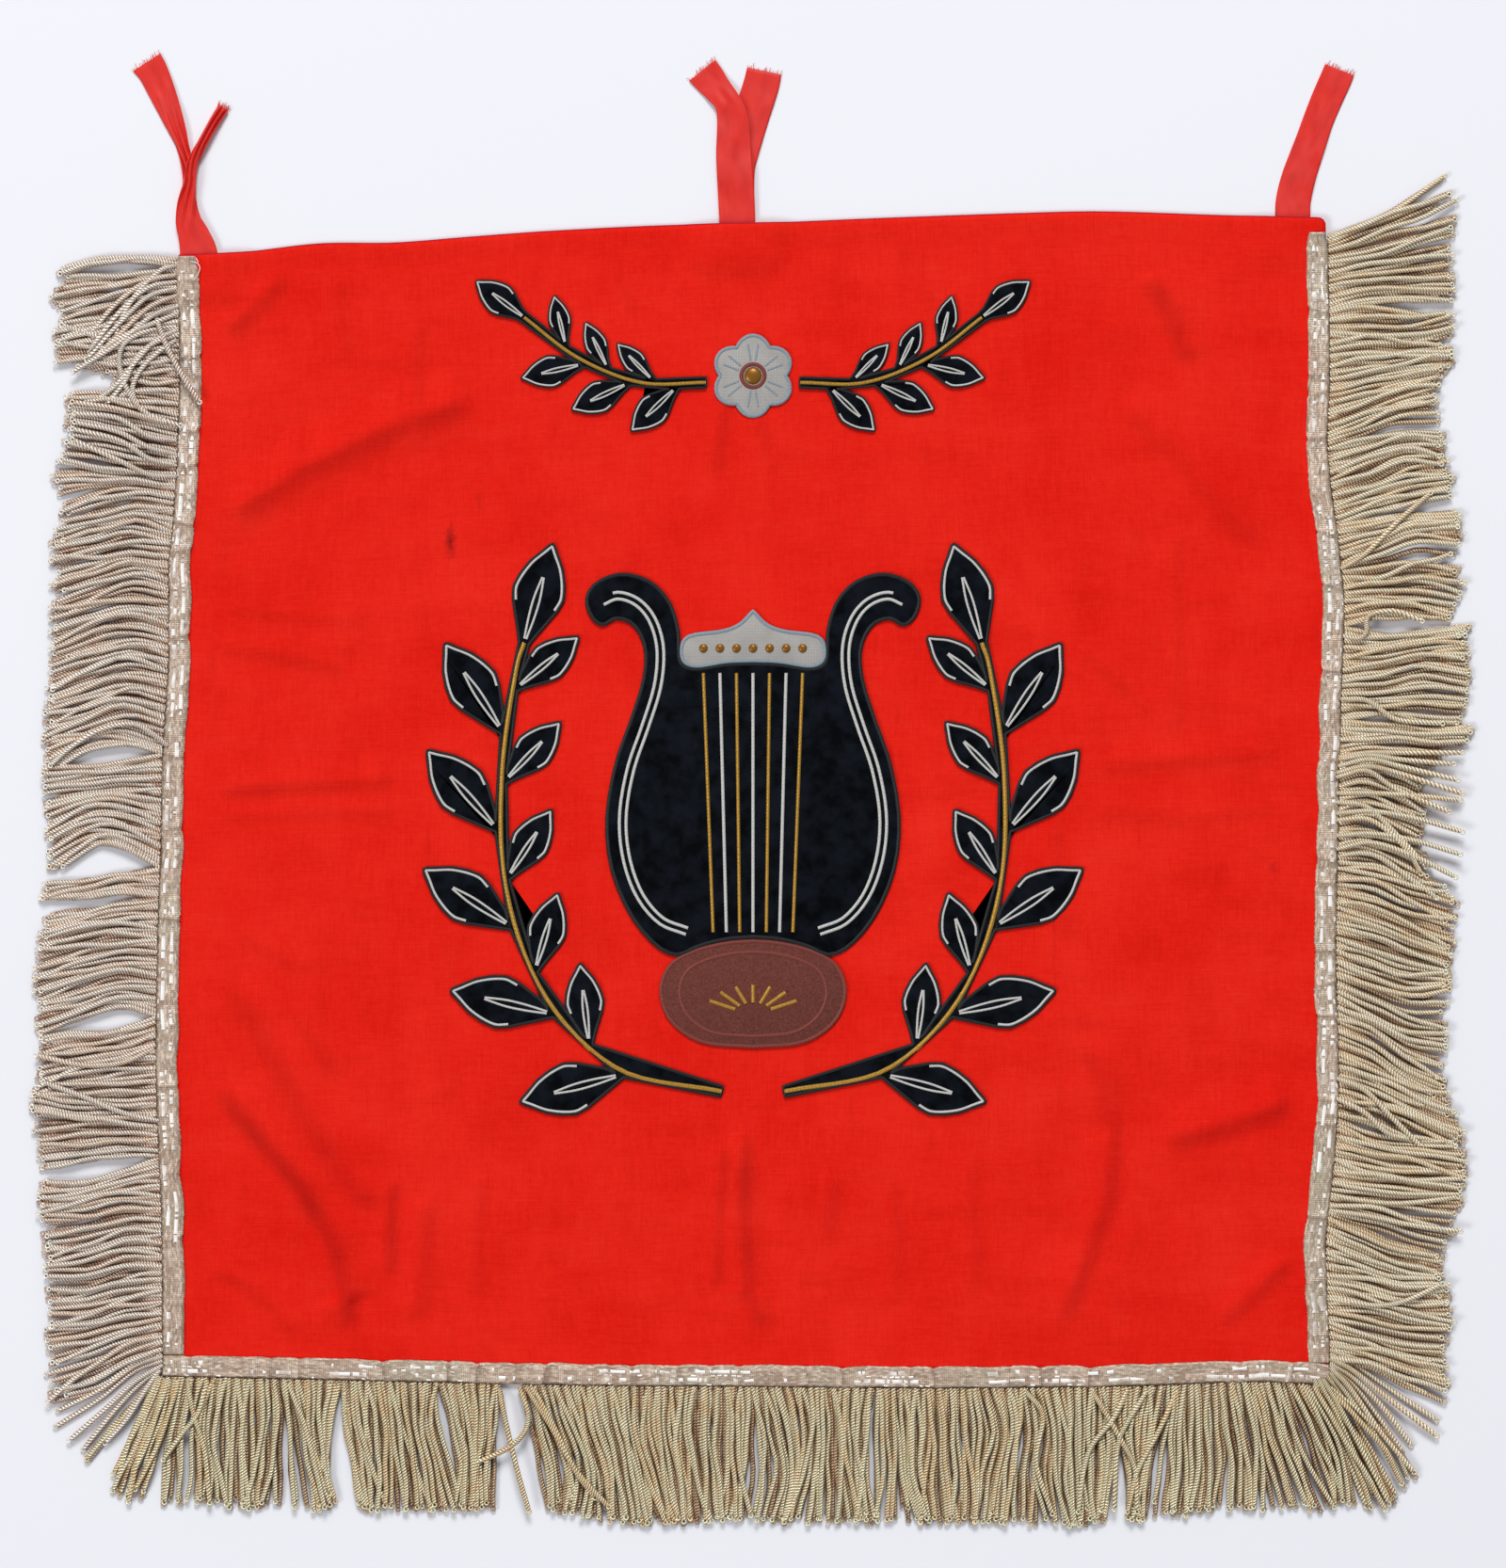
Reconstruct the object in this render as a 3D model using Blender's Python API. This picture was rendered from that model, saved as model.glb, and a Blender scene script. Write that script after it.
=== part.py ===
"""Trumpet banner: red cloth, bullion fringe on three sides, ribbon ties, sewn-on velvet and felt.

The banner lies face up. +X is its right, +Y points to the ties and +Z out of the cloth.
The origin is on the underside of the cloth, in the middle of the field.
All sizes below are in millimetres, and finish() turns them into metres.
"""
import math
import random

import bmesh
import bpy
from mathutils import Vector
from mathutils.bvhtree import BVHTree
from mathutils.geometry import delaunay_2d_cdt

MM = 0.001

# Cloth
CLOTH_THICK = 1.2
HEM_DEPTH = 7.0
HEM_STEP = 1.5
HEM_EXTRA = 0.6
FIELD_HEIGHT = 510.0
GRID_PITCH = 30.0
GRID_MARGIN = 33.0
GRID_TOP_MARGIN = 53.0
EDGE_PITCH = 20.0
STATION_CLEAR = 7.0
CORNER_CLEAR = 4.0
FOLD_PITCH = 16.0
FOLD_CLEAR = 6.0
FOLD_END = 1 / 3

# Gap between pieces that are sewn to each other
SEAM_GAP = 0.3

# Fringe: a woven heading and three-sided cords
HEADING_HALF = 4.8
HEADING_THICK = 1.2
HEADING_CLEAR = 11.0
CLOTH_INSET = 1.0
CORD_HEIGHT = 2.4
CORD_UNEVEN = 1.6
CORD_SHIFT = 0.15

# Where a cord changes direction: part of its reach, half its width, part of its bow and of its lean
CORD_STEPS = (
    # reach, half width, bow, lean
    (0.25, 1.50, 0.75, 0.16),
    (0.60, 1.45, 0.96, 0.54),
    (1.00, 1.25, 0.00, 1.00),
)

# Ribbon ties
TIE_THICK = 1.0
TIE_UNDER_HEM = 8.0
TIE_TURN = 1.2
TIE_MARGIN = 2.5
TIE_SPREAD = 14.0

# Sewn-on pieces
APPLIQUE_THICK = 1.0

# Middle lines of the headings and the cloth's top edge
LEFT_LINE = (
    # y, x
    (240, -252), (195, -251), (153, -252), (120, -254), (103, -255.8), (61, -256), (19, -258.5),
    (-23, -259.4), (-65, -260.8), (-128, -261.4), (-191, -259), (-262, -258.6),
)
RIGHT_LINE = (
    # y, x
    (257, 251.4), (187, 252.4), (153, 251.6), (103, 257.5), (82, 258.9), (52, 257.9), (19, 257),
    (-23, 256.2), (-65, 255.2), (-132, 256.4), (-165, 254.2), (-200, 250.8), (-262, 253.2),
)
BOTTOM_LINE = (
    # x, y
    (-264, -254.3), (-168, -256.4), (-84, -258.3), (0, -258.9), (84, -259.6), (168, -258.7),
    (227, -256.8), (258, -258.8),
)
TOP_LINE = (
    # x, y
    (-256, 240.7), (-227, 242.3), (-193, 246.1), (-160, 246.5), (-126, 249.1), (-92, 251.6),
    (-42, 254.1), (8, 255.4), (59, 257.5), (118, 259.6), (155, 260.4), (210, 258.7), (256, 257.5),
)

# Folds that stand up from the cloth: height, half width, and the line of the crest
FOLDS = (
    # height, half width, crest points (x, y)
    (3.0, 9.0, ((-237, 120), (-197, 145), (-160, 162), (-122, 175))),
    (1.2, 6.0, ((-240, 1), (-195, 4), (-157, 6))),
    (2.2, 8.0, ((-240, -128), (-227, -145), (-202, -174), (-187, -199), (-181, -224))),
    (1.6, 8.0, ((-223, -94), (-206, -132), (-192, -158), (-166, -186))),
    (1.5, 7.0, ((-150, -178), (-152, -206), (-154, -236))),
    (2.0, 7.0, ((-3, -151), (-3, -200), (-1, -226), (5, -240))),
    (2.2, 8.0, ((165, -172), (154, -208), (139, -240))),
    (2.8, 8.0, ((237, -136), (213, -146), (186, -156))),
    (2.0, 8.0, ((237, -212), (222, -226), (207, -239))),
    (1.2, 6.0, ((152, 11), (195, 14), (238, 17))),
    (1.8, 8.0, ((174, 232), (184, 214), (194, 194))),
    (1.8, 8.0, ((164, 172), (192, 146), (222, 112))),
    (1.5, 7.0, ((-234, 208), (-222, 217), (-208, 226))),
    (1.0, 6.0, ((-240, 54), (-215, 57), (-189, 59))),
)

# Shape of the fringe along each heading
LEFT_FRINGE = (
    # y, reach, bow, lean upwards
    (240, 51, 0, 1), (215, 53, 0, 2), (190, 50, 1, 5), (165, 49, 1, 6), (140, 48, 0, 0),
    (115, 50, 0, -7), (85, 48, -1, -13), (50, 50, 0, -15), (26, 51, 3, -13), (19, 51, -3, -13),
    (0, 50, -1, -12), (-25, 49, 0, -12), (-44, 48, 2, -9), (-50, 50, -2, -9), (-75, 54, 0, -6),
    (-105, 53, 1, -7), (-130, 53, 0, -2), (-150, 53, 1, 2), (-175, 50, 0, -5), (-195, 50, 0, -13),
    (-215, 49, -1, -18), (-235, 48, -1, -24), (-250, 45, 0, -31),
)
BOTTOM_FRINGE = (
    # x, reach, bow, lean to the right
    (-262, 36, 0, -34), (-255, 47, 0, -26), (-240, 55, 0, -12), (-222, 57, 0, -6),
    (-190, 55, 0, -3), (-160, 54, 1, 0), (-132, 55, 0, -1), (-121, 54, -2, -3), (-114, 33, 0, -1),
    (-99, 38, 1, 3), (-92, 57, 2, 3), (-84, 57, 1, 1), (-45, 60, 0, 0), (0, 58, 0, 1),
    (45, 57, -1, 0), (85, 60, 0, -1), (130, 61, 1, 0), (165, 59, 0, 1), (205, 59, 0, 2),
    (225, 57, 0, 5), (238, 57, 0, 12), (247, 53, 0, 24), (255, 43, 0, 35),
)
RIGHT_FRINGE = (
    # y, reach, bow, lean upwards
    (252, 50, 0, 24), (235, 53, 0, 17), (205, 54, 0, 6), (190, 54, 0, 5), (175, 50, 1, 10),
    (155, 49, 1, 16), (130, 52, 1, 14), (110, 52, 0, 9), (84, 53, 3, 4), (77, 54, -3, -1),
    (60, 54, 0, -2), (30, 54, 0, -4), (5, 52, 0, -10), (-20, 50, 1, -19), (-50, 50, 1, -23),
    (-80, 47, 1, -24), (-105, 48, 0, -22), (-165, 53, 0, -6), (-195, 55, 0, -9),
    (-220, 53, 0, -18), (-235, 49, 0, -26), (-250, 45, 0, -33),
)
FRINGES = (
    # name, cords, first row and last row end, shape, seed
    ("fringe_left", 94, 239.5, -249.2, LEFT_FRINGE, 3),
    ("fringe_bottom", 100, -263.2, 257.6, BOTTOM_FRINGE, 5),
    ("fringe_right", 97, 253.5, -253.0, RIGHT_FRINGE, 7),
)

# Free tails of the ties, from the hem outwards
LEFT_LONG_TAIL = (
    # x, y, width
    (-247.2, 234.0, 17.0), (-247.2, 241.9, 16.6), (-249.3, 249.5, 14.0), (-251.8, 256.6, 11.3),
    (-252.2, 265.0, 8.0), (-251.3, 272.6, 5.6), (-252.4, 281.8, 5.0), (-254.5, 289.8, 5.8),
    (-256.6, 296.3, 7.7), (-259.8, 304.5, 10.0), (-263.6, 313.7, 12.0), (-267.5, 322.4, 13.4),
    (-270.4, 327.0, 14.5),
)
LEFT_SHORT_TAIL = (
    # x, y, width
    (-247.2, 234.0, 17.0), (-247.2, 241.9, 16.6), (-249.3, 249.5, 14.0), (-251.8, 256.6, 11.3),
    (-252.2, 265.0, 8.0), (-251.0, 272.6, 5.4), (-249.8, 281.0, 4.8), (-247.0, 287.7, 4.6),
    (-244.0, 293.4, 4.6), (-240.7, 299.5, 4.8), (-236.3, 306.8, 5.2),
)
CENTRE_BACK_TAIL = (
    # x, y, width
    (-7.0, 248.0, 16.0), (-7.0, 256.0, 16.0), (-7.4, 268.0, 16.0), (-7.1, 279.7, 16.0),
    (-5.2, 288.1, 16.0), (-2.6, 296.9, 16.0), (0.4, 306.6, 16.0), (3.6, 316.7, 16.0),
    (5.0, 323.0, 15.6),
)
CENTRE_FRONT_TAIL = (
    # x, y, width
    (-7.0, 248.0, 16.0), (-7.0, 256.0, 16.0), (-7.6, 270.0, 16.2), (-8.5, 286.0, 15.8),
    (-8.8, 300.0, 14.4), (-11.2, 308.6, 12.0), (-15.4, 314.4, 12.6), (-19.2, 319.2, 14.2),
    (-22.6, 323.4, 15.0),
)
RIGHT_TAIL = (
    # x, y, width
    (240.8, 250.0, 15.7), (240.8, 258.0, 15.7), (241.0, 265.0, 15.6), (243.0, 274.3, 15.2),
    (246.2, 284.0, 14.5), (249.1, 292.2, 13.9), (252.2, 301.2, 13.6), (256.1, 310.8, 13.9),
    (260.0, 319.6, 14.0), (261.6, 323.6, 13.8),
)
TIES = (
    # name, lower tail, upper tail, rows of the upper tail that lie on the lower one
    ("tie_left", LEFT_LONG_TAIL, LEFT_SHORT_TAIL, 8),
    ("tie_centre", CENTRE_BACK_TAIL, CENTRE_FRONT_TAIL, 6),
    ("tie_right", RIGHT_TAIL, None, 0),
)

# Half of the lyre, mirrored in the banner's middle line
BODY_HALF = (
    # x, y
    (0, -63), (12, -64), (24, -67), (34, -71), (44, -66), (55, -52), (63, -32), (65, -10), (61, 14),
    (54, 34), (48.5, 52), (48, 66), (53, 76), (61, 79), (67, 76), (72, 80), (74, 88), (69, 95),
    (58, 98.5), (46, 95), (37.5, 86), (33.6, 74), (33.2, 66), (32.2, 58.8), (25.5, 56.2), (12, 58.2),
    (0, 58.7),
)
BOWL_HALF = (
    # x, y
    (0, -112), (22, -110), (36, -101), (41, -88), (37, -76), (26, -69.5), (12, -66), (0, -65),
)
YOKE_HALF = (
    # x, y
    (0, 60), (12, 59.5), (25, 57.5), (31, 60), (31.8, 66), (28, 71), (14, 73), (6, 76), (0, 82),
)

# Leafy pieces: stem points, pairs of leaves, where the first grows, and each leaf's length and half width
SPRAY_STEM = ((14, -132), (60, -122), (93, -89), (110, -42), (112, 8), (106, 54), (102, 68))
SPRAY_PAIRS = 5
SPRAY_FIRST = 0.16
SPRAY_OUTER_LEAF = (46.0, 11.5)
SPRAY_INNER_LEAF = (35.0, 8.4)
FESTOON_STEM = ((21, 184), (50, 184), (78, 195), (102, 213))
FESTOON_PAIRS = 3
FESTOON_FIRST = 0.16
FESTOON_OUTER_LEAF = (27.0, 7.0)
FESTOON_INNER_LEAF = (22.0, 4.8)
LEAF_ANGLE = math.radians(41)
LEAF_PARTS = (
    # part of the length, part of the half width
    (0.25, 0.64), (0.50, 1.00), (0.78, 0.64),
)
STEM_HALF = 2.2
LEAF_ROOT_HALF = 2.0
LAST_PAIR = 0.88
FLOWER_PETALS = 6
FLOWER_CENTRE = (0.0, 187.0)
FLOWER_RADIUS = 18.0

COLOURS = {
    # name: colour, roughness, metallic
    "red_cloth": ((0.72, 0.02, 0.01, 1.0), 0.80, 0.0),
    "red_ribbon": ((0.77, 0.05, 0.03, 1.0), 0.45, 0.0),
    "silver_bullion": ((0.42, 0.37, 0.25, 1.0), 0.45, 0.8),
    "black_velvet": ((0.004, 0.005, 0.006, 1.0), 0.95, 0.0),
    "brown_felt": ((0.14, 0.04, 0.03, 1.0), 0.95, 0.0),
    "grey_cloth": ((0.55, 0.52, 0.50, 1.0), 0.85, 0.0),
}


def read(rows, at, column=1):
    """Value of a column at a place between the rows, on a smooth curve through them."""
    rows = sorted(rows)
    at = min(max(at, rows[0][0]), rows[-1][0])
    last = len(rows) - 1
    low = max(index for index in range(last) if rows[index][0] <= at)

    def slope(index):
        before, after = rows[max(index - 1, 0)], rows[min(index + 1, last)]
        return (after[column] - before[column]) / (after[0] - before[0])

    here, there = rows[low], rows[low + 1]
    span = there[0] - here[0]
    t = (at - here[0]) / span
    rise = t * t * (3 - 2 * t)
    bend_in = t * (1 - t) ** 2 * span * slope(low)
    bend_out = t * t * (t - 1) * span * slope(low + 1)
    return here[column] + (there[column] - here[column]) * rise + bend_in + bend_out


def read_straight(rows, at, column):
    """Value of a column at a place between the rows, on straight lines between them."""
    rows = sorted(rows)
    at = min(max(at, rows[0][0]), rows[-1][0])
    for here, there in zip(rows, rows[1:]):
        if at <= there[0]:
            return here[column] + (there[column] - here[column]) * (at - here[0]) / (there[0] - here[0])


def turned(way, angle):
    """A direction turned anticlockwise."""
    cos, sin = math.cos(angle), math.sin(angle)
    return Vector((way.x * cos - way.y * sin, way.x * sin + way.y * cos))


def spread(start, end, pitch):
    """Even places from start to end, about a pitch apart."""
    count = max(1, round(abs(end - start) / pitch))
    return [start + (end - start) * step / count for step in range(count + 1)]


def finish(name, bm, material):
    """Make a closed bmesh, still in millimetres, into a named object in metres."""
    bmesh.ops.recalc_face_normals(bm, faces=bm.faces)
    bmesh.ops.scale(bm, vec=(MM, MM, MM), verts=bm.verts)
    mesh = bpy.data.meshes.new(name)
    bm.to_mesh(mesh)
    bm.free()
    mesh.materials.append(material)
    piece = bpy.data.objects.new(name, mesh)
    bpy.context.scene.collection.objects.link(piece)


def make_materials():
    """One Principled material for each cloth, ribbon and wire."""
    made = {}
    for name, (colour, roughness, metallic) in COLOURS.items():
        material = bpy.data.materials.new(name)
        material.use_nodes = True
        shader = material.node_tree.nodes["Principled BSDF"]
        shader.inputs["Base Color"].default_value = colour
        shader.inputs["Roughness"].default_value = roughness
        shader.inputs["Metallic"].default_value = metallic
        made[name] = material
    return made


def field_point(u, v):
    """Point of the cloth, u from its left edge to its right and v from its bottom to its top."""
    y = FIELD_HEIGHT * (v - 0.5)
    for _ in range(3):
        left = read(LEFT_LINE, y) - HEADING_HALF + CLOTH_INSET
        right = read(RIGHT_LINE, y) + HEADING_HALF - CLOTH_INSET
        x = left + (right - left) * u
        low = read(BOTTOM_LINE, x) - HEADING_HALF + CLOTH_INSET
        y = low + (read(TOP_LINE, x) - low) * v
    return Vector((x, y))


def tie_root(lower, upper):
    """Box under the hem that a tie's root fills, and how high the cloth is lifted over it."""
    x, y, width = lower[0]
    layers = 2 if upper else 1
    lift = layers * (TIE_THICK + SEAM_GAP)
    return x - width / 2 - TIE_MARGIN, x + width / 2 + TIE_MARGIN, y - TIE_TURN - TIE_MARGIN, lift


def tie_lift(point):
    """Height of the cloth over the tie roots."""
    height = 0.0
    for _, lower, upper, _ in TIES:
        left, right, low, lift = tie_root(lower, upper)
        beside = max(left - point.x, point.x - right, 0.0)
        below = max(low - point.y, 0.0)
        height = max(height, lift * (1 - math.hypot(beside, below) / TIE_SPREAD))
    return height


def crest(fold):
    """Points along a fold's crest, about a pitch apart, with the way it runs at each."""
    _, _, corners = fold
    line = []
    for start, end in zip(corners, corners[1:]):
        start, end = Vector(start), Vector(end)
        for part in spread(0, (end - start).length, FOLD_PITCH)[:-1]:
            line.append(start + (end - start).normalized() * part)
    line.append(Vector(corners[-1]))
    ways = [(line[min(i + 1, len(line) - 1)] - line[max(i - 1, 0)]).normalized() for i in range(len(line))]
    return list(zip(line, ways))


def fold_lift(point, fold):
    """Height of the cloth over one fold, which dies away at its ends and its sides."""
    height, half, _ = fold
    line = crest(fold)
    best = 0.0
    last = len(line) - 1
    for index in range(last):
        start, end = line[index][0], line[index + 1][0]
        along = min(max((point - start).dot(end - start) / (end - start).length_squared, 0.0), 1.0)
        off = (point - start.lerp(end, along)).length
        place = (index + along) / last
        full = min(1.0, place / FOLD_END, (1 - place) / FOLD_END)
        best = max(best, height * full * (1 - off / half))
    return best


def fold_distance(point, fold):
    """How far a point lies outside a fold's sides."""
    _, half, corners = fold
    near = 1e9
    for start, end in zip(corners, corners[1:]):
        start, end = Vector(start), Vector(end)
        along = min(max((point - start).dot(end - start) / (end - start).length_squared, 0.0), 1.0)
        near = min(near, (point - start.lerp(end, along)).length)
    return near - half


def cloth_height(point):
    """Height of the underside of the cloth above the surface on which it lies."""
    return max([0.0, tie_lift(point)] + [fold_lift(point, fold) for fold in FOLDS])


def hem_thickness(point):
    """Thickness of the cloth, which is doubled at the top hem."""
    depth = read(TOP_LINE, point.x) - point.y
    return CLOTH_THICK + (HEM_EXTRA if depth < HEM_DEPTH + HEM_STEP / 2 else 0.0)


def top_stations():
    """Places across the top of the cloth: even ones, and the sides of each tie's root."""
    left, right = field_point(0, 1).x, field_point(1, 1).x
    fixed = []
    for _, lower, upper, _ in TIES:
        low, high, _, _ = tie_root(lower, upper)
        fixed += [low - TIE_SPREAD, low, high, high + TIE_SPREAD]
    fixed = [x for x in fixed if left + CORNER_CLEAR < x < right - CORNER_CLEAR]
    even = spread(left, right, EDGE_PITCH)[1:-1]
    even = [x for x in even if all(abs(x - side) > STATION_CLEAR for side in fixed)]
    return [0.0] + [(x - left) / (right - left) for x in sorted(fixed + even)] + [1.0]


def cloth_points():
    """Points of the sheet, and the lines between them that its triangles have to keep."""
    points, lines = [], []
    edge_step = EDGE_PITCH / FIELD_HEIGHT
    grid_step = GRID_PITCH / FIELD_HEIGHT

    def add_line(places, closed=False):
        start = len(points)
        points.extend(places)
        lines.extend((start + i, start + i + 1) for i in range(len(places) - 1))
        if closed:
            lines.append((start + len(places) - 1, start))

    root_depth = TIE_UNDER_HEM + TIE_TURN + TIE_MARGIN
    depths = (HEM_DEPTH, HEM_DEPTH + HEM_STEP, root_depth, root_depth + TIE_SPREAD)
    hem_rows = [1 - depth / FIELD_HEIGHT for depth in reversed(depths)]
    across = top_stations()
    below = spread(0, hem_rows[0], edge_step)
    edge = [field_point(u, 1) for u in across]
    edge += [field_point(1, v) for v in reversed(below[1:] + hem_rows[1:])]
    edge += [field_point(u, 0) for u in reversed(spread(0, 1, edge_step))]
    edge += [field_point(0, v) for v in below[1:] + hem_rows[1:]]
    add_line(edge, closed=True)
    for v in hem_rows:
        add_line([field_point(u, v) for u in across])

    rim = HEADING_CLEAR / FIELD_HEIGHT
    inside = [field_point(rim, v) for v in reversed(below[1:-1])]
    inside += [field_point(u, rim) for u in spread(rim, 1 - rim, edge_step)]
    inside += [field_point(1 - rim, v) for v in below[1:-1]]
    add_line(inside)

    for fold in FOLDS:
        _, half, _ = fold
        line = crest(fold)
        add_line([point for point, _ in line])
        for turn in (-half, half):
            add_line([point + Vector((way.y, -way.x)) * turn for point, way in line[1:-1]])

    margin = GRID_MARGIN / FIELD_HEIGHT
    for u in spread(margin, 1 - margin, grid_step):
        for v in spread(margin, 1 - GRID_TOP_MARGIN / FIELD_HEIGHT, grid_step):
            point = field_point(u, v)
            if all(fold_distance(point, fold) > FOLD_CLEAR for fold in FOLDS):
                points.append(point)
    return points, lines


def make_cloth(material):
    """The field of the banner: one sheet with its top hem, its folds and its lifts over the ties."""
    points, lines = cloth_points()
    flat, _, faces, _, _, _ = delaunay_2d_cdt(points, lines, [], 1, 0.02)
    bm = bmesh.new()
    sheet = [bm.verts.new((point.x, point.y, cloth_height(point))) for point in flat]
    for face in faces:
        bm.faces.new([sheet[index] for index in face])
    raised = bmesh.ops.extrude_face_region(bm, geom=bm.faces[:])
    for vert in raised["geom"]:
        if isinstance(vert, bmesh.types.BMVert):
            vert.co.z += hem_thickness(vert.co.xy)
    surface = BVHTree.FromBMesh(bm)
    finish("cloth", bm, material)
    return surface


def cloth_top(surface, x, y):
    """Height of the top of the cloth, or of its flat part where the place is off the cloth."""
    hit = surface.ray_cast(Vector((x, y, 50.0)), Vector((0, 0, -1)))
    return hit[0].z if hit[0] else CLOTH_THICK


def heading_place(name, along, out):
    """Place beside a heading's middle line, out towards the tips of its cords."""
    if name == "fringe_left":
        return Vector((read(LEFT_LINE, along) - out, along))
    if name == "fringe_right":
        return Vector((read(RIGHT_LINE, along) + out, along))
    return Vector((along, read(BOTTOM_LINE, along) - out))


def heading_base(surface, name, along, pitch):
    """Height at which the heading lies on the cloth."""
    tops = []
    for step in (-pitch, 0.0, pitch):
        for out in (-HEADING_HALF, -HEADING_HALF / 2, 0.0, HEADING_HALF / 2, HEADING_HALF - CLOTH_INSET):
            place = heading_place(name, along + step, out)
            tops.append(cloth_top(surface, place.x, place.y))
    return max(tops) + SEAM_GAP


def cord_rings(name, along, row, extra, shift, sign):
    """Corners of one cord at each of its steps: two on the surface and one above them."""
    reach, bow, lean = row
    longer = 1 + extra / reach
    start = heading_place(name, along, HEADING_HALF)
    out = (heading_place(name, along, HEADING_HALF + 10) - start) / 10
    side = Vector((0, 1)) if abs(out.x) > 0.5 else Vector((1, 0))
    middle = [start] + [start + (out * reach * part + side * (bow * swell + (lean + shift) * tilt)) * longer
                        for part, _, swell, tilt in CORD_STEPS]
    rings = []
    for index, (_, half, _, _) in enumerate(CORD_STEPS, start=1):
        ahead = middle[min(index + 1, len(middle) - 1)] - middle[index - 1]
        across = Vector((ahead.y, -ahead.x)).normalized() * half
        across *= 1 if across.dot(side) * sign > 0 else -1
        low, high, top = middle[index] - across, middle[index] + across, middle[index]
        rings.append(((low.x, low.y, 0.0), (high.x, high.y, 0.0), (top.x, top.y, CORD_HEIGHT)))
    return rings


def make_fringe(surface, name, cords, first, last, shape, seed, material):
    """A woven heading with its row of cords, which lie on the surface beside the cloth."""
    uneven = random.Random(seed)
    pitch = (last - first) / cords
    sign = 1 if pitch > 0 else -1
    root_half = sign * CORD_STEPS[0][1]
    bm = bmesh.new()

    def vert(along, out, height):
        place = heading_place(name, along, out)
        return bm.verts.new((place.x, place.y, height))

    def station(along):
        base = heading_base(surface, name, along, abs(pitch))
        return base, vert(along, -HEADING_HALF, base), vert(along, -HEADING_HALF, base + HEADING_THICK)

    base, inner_low, inner_top = station(first)
    outer_low = vert(first, HEADING_HALF, base)
    outer_top = vert(first, HEADING_HALF, base + HEADING_THICK)
    bm.faces.new((inner_low, inner_top, outer_top, outer_low))

    for index in range(cords):
        along = first + pitch * (index + 0.5)
        base, next_low, next_top = station(along)
        near = vert(along - root_half, HEADING_HALF, base)
        far = vert(along + root_half, HEADING_HALF, base)
        top = vert(along, HEADING_HALF, base + HEADING_THICK)
        bm.faces.new((inner_low, inner_top, next_top, next_low))
        bm.faces.new((inner_top, outer_top, top, next_top))
        bm.faces.new((outer_top, outer_low, near, top))
        bm.faces.new((outer_low, inner_low, next_low, near))
        bm.faces.new((near, next_low, far))
        row = [read_straight(shape, along, column) for column in (1, 2, 3)]
        extra = uneven.uniform(-CORD_UNEVEN, CORD_UNEVEN)
        shift = uneven.uniform(-CORD_SHIFT, CORD_SHIFT)
        ring = (near, far, top)
        for corners in cord_rings(name, along, row, extra, shift, sign):
            step = [bm.verts.new(corner) for corner in corners]
            for a, b in ((0, 1), (1, 2), (2, 0)):
                bm.faces.new((ring[a], ring[b], step[b], step[a]))
            ring = step
        bm.faces.new(ring)
        inner_low, inner_top, outer_low, outer_top = next_low, next_top, far, top

    base, end_low, end_top = station(last)
    end_outer_low = vert(last, HEADING_HALF, base)
    end_outer_top = vert(last, HEADING_HALF, base + HEADING_THICK)
    bm.faces.new((inner_low, inner_top, end_top, end_low))
    bm.faces.new((inner_top, outer_top, end_outer_top, end_top))
    bm.faces.new((outer_top, outer_low, end_outer_low, end_outer_top))
    bm.faces.new((outer_low, inner_low, end_low, end_outer_low))
    bm.faces.new((end_low, end_top, end_outer_top, end_outer_low))
    finish(name, bm, material)


def tail_edges(tail):
    """Left and right edge points of a tail at each of its rows."""
    edges = []
    for index, (x, y, width) in enumerate(tail):
        before, after = tail[max(index - 1, 0)], tail[min(index + 1, len(tail) - 1)]
        way = Vector((after[0] - before[0], after[1] - before[1])).normalized()
        half = Vector((way.y, -way.x)) * width / 2
        edges.append((Vector((x, y)) - half, Vector((x, y)) + half))
    return edges


def tie_rings(lower, upper, lying):
    """Rings of four corners along a tie: out along one tail, or in along one and out along the other."""
    rings = []
    for left, right in reversed(tail_edges(lower)):
        rings.append([(*left, 0.0), (*right, 0.0), (*right, TIE_THICK), (*left, TIE_THICK)])
    if upper is None:
        return rings
    turn = TIE_THICK + SEAM_GAP / 2
    left, right = tail_edges(upper)[0]
    outer, inner = left.y - turn, left.y - SEAM_GAP / 2
    fold = ((left.x, outer), (right.x, outer), (right.x, inner), (left.x, inner))
    rings.append([(x, y, turn) for x, y in fold])
    high = TIE_THICK + SEAM_GAP
    for index, (left, right) in enumerate(tail_edges(upper)):
        beyond = index - lying + 1
        base = high * max(0.0, 1.0 - max(beyond, 0) / 2)
        top = base + TIE_THICK
        rings.append([(*left, top), (*right, top), (*right, base), (*left, base)])
    return rings


def make_tie(name, lower, upper, lying, material):
    """A ribbon folded in its middle, with the fold sewn under the hem and one or two free tails."""
    bm = bmesh.new()
    rings = [[bm.verts.new(corner) for corner in ring] for ring in tie_rings(lower, upper, lying)]
    bm.faces.new(rings[0])
    for near, far in zip(rings, rings[1:]):
        for a, b in ((0, 1), (1, 2), (2, 3), (3, 0)):
            bm.faces.new((near[a], near[b], far[b], far[a]))
    bm.faces.new(rings[-1])
    finish(name, bm, material)


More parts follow.
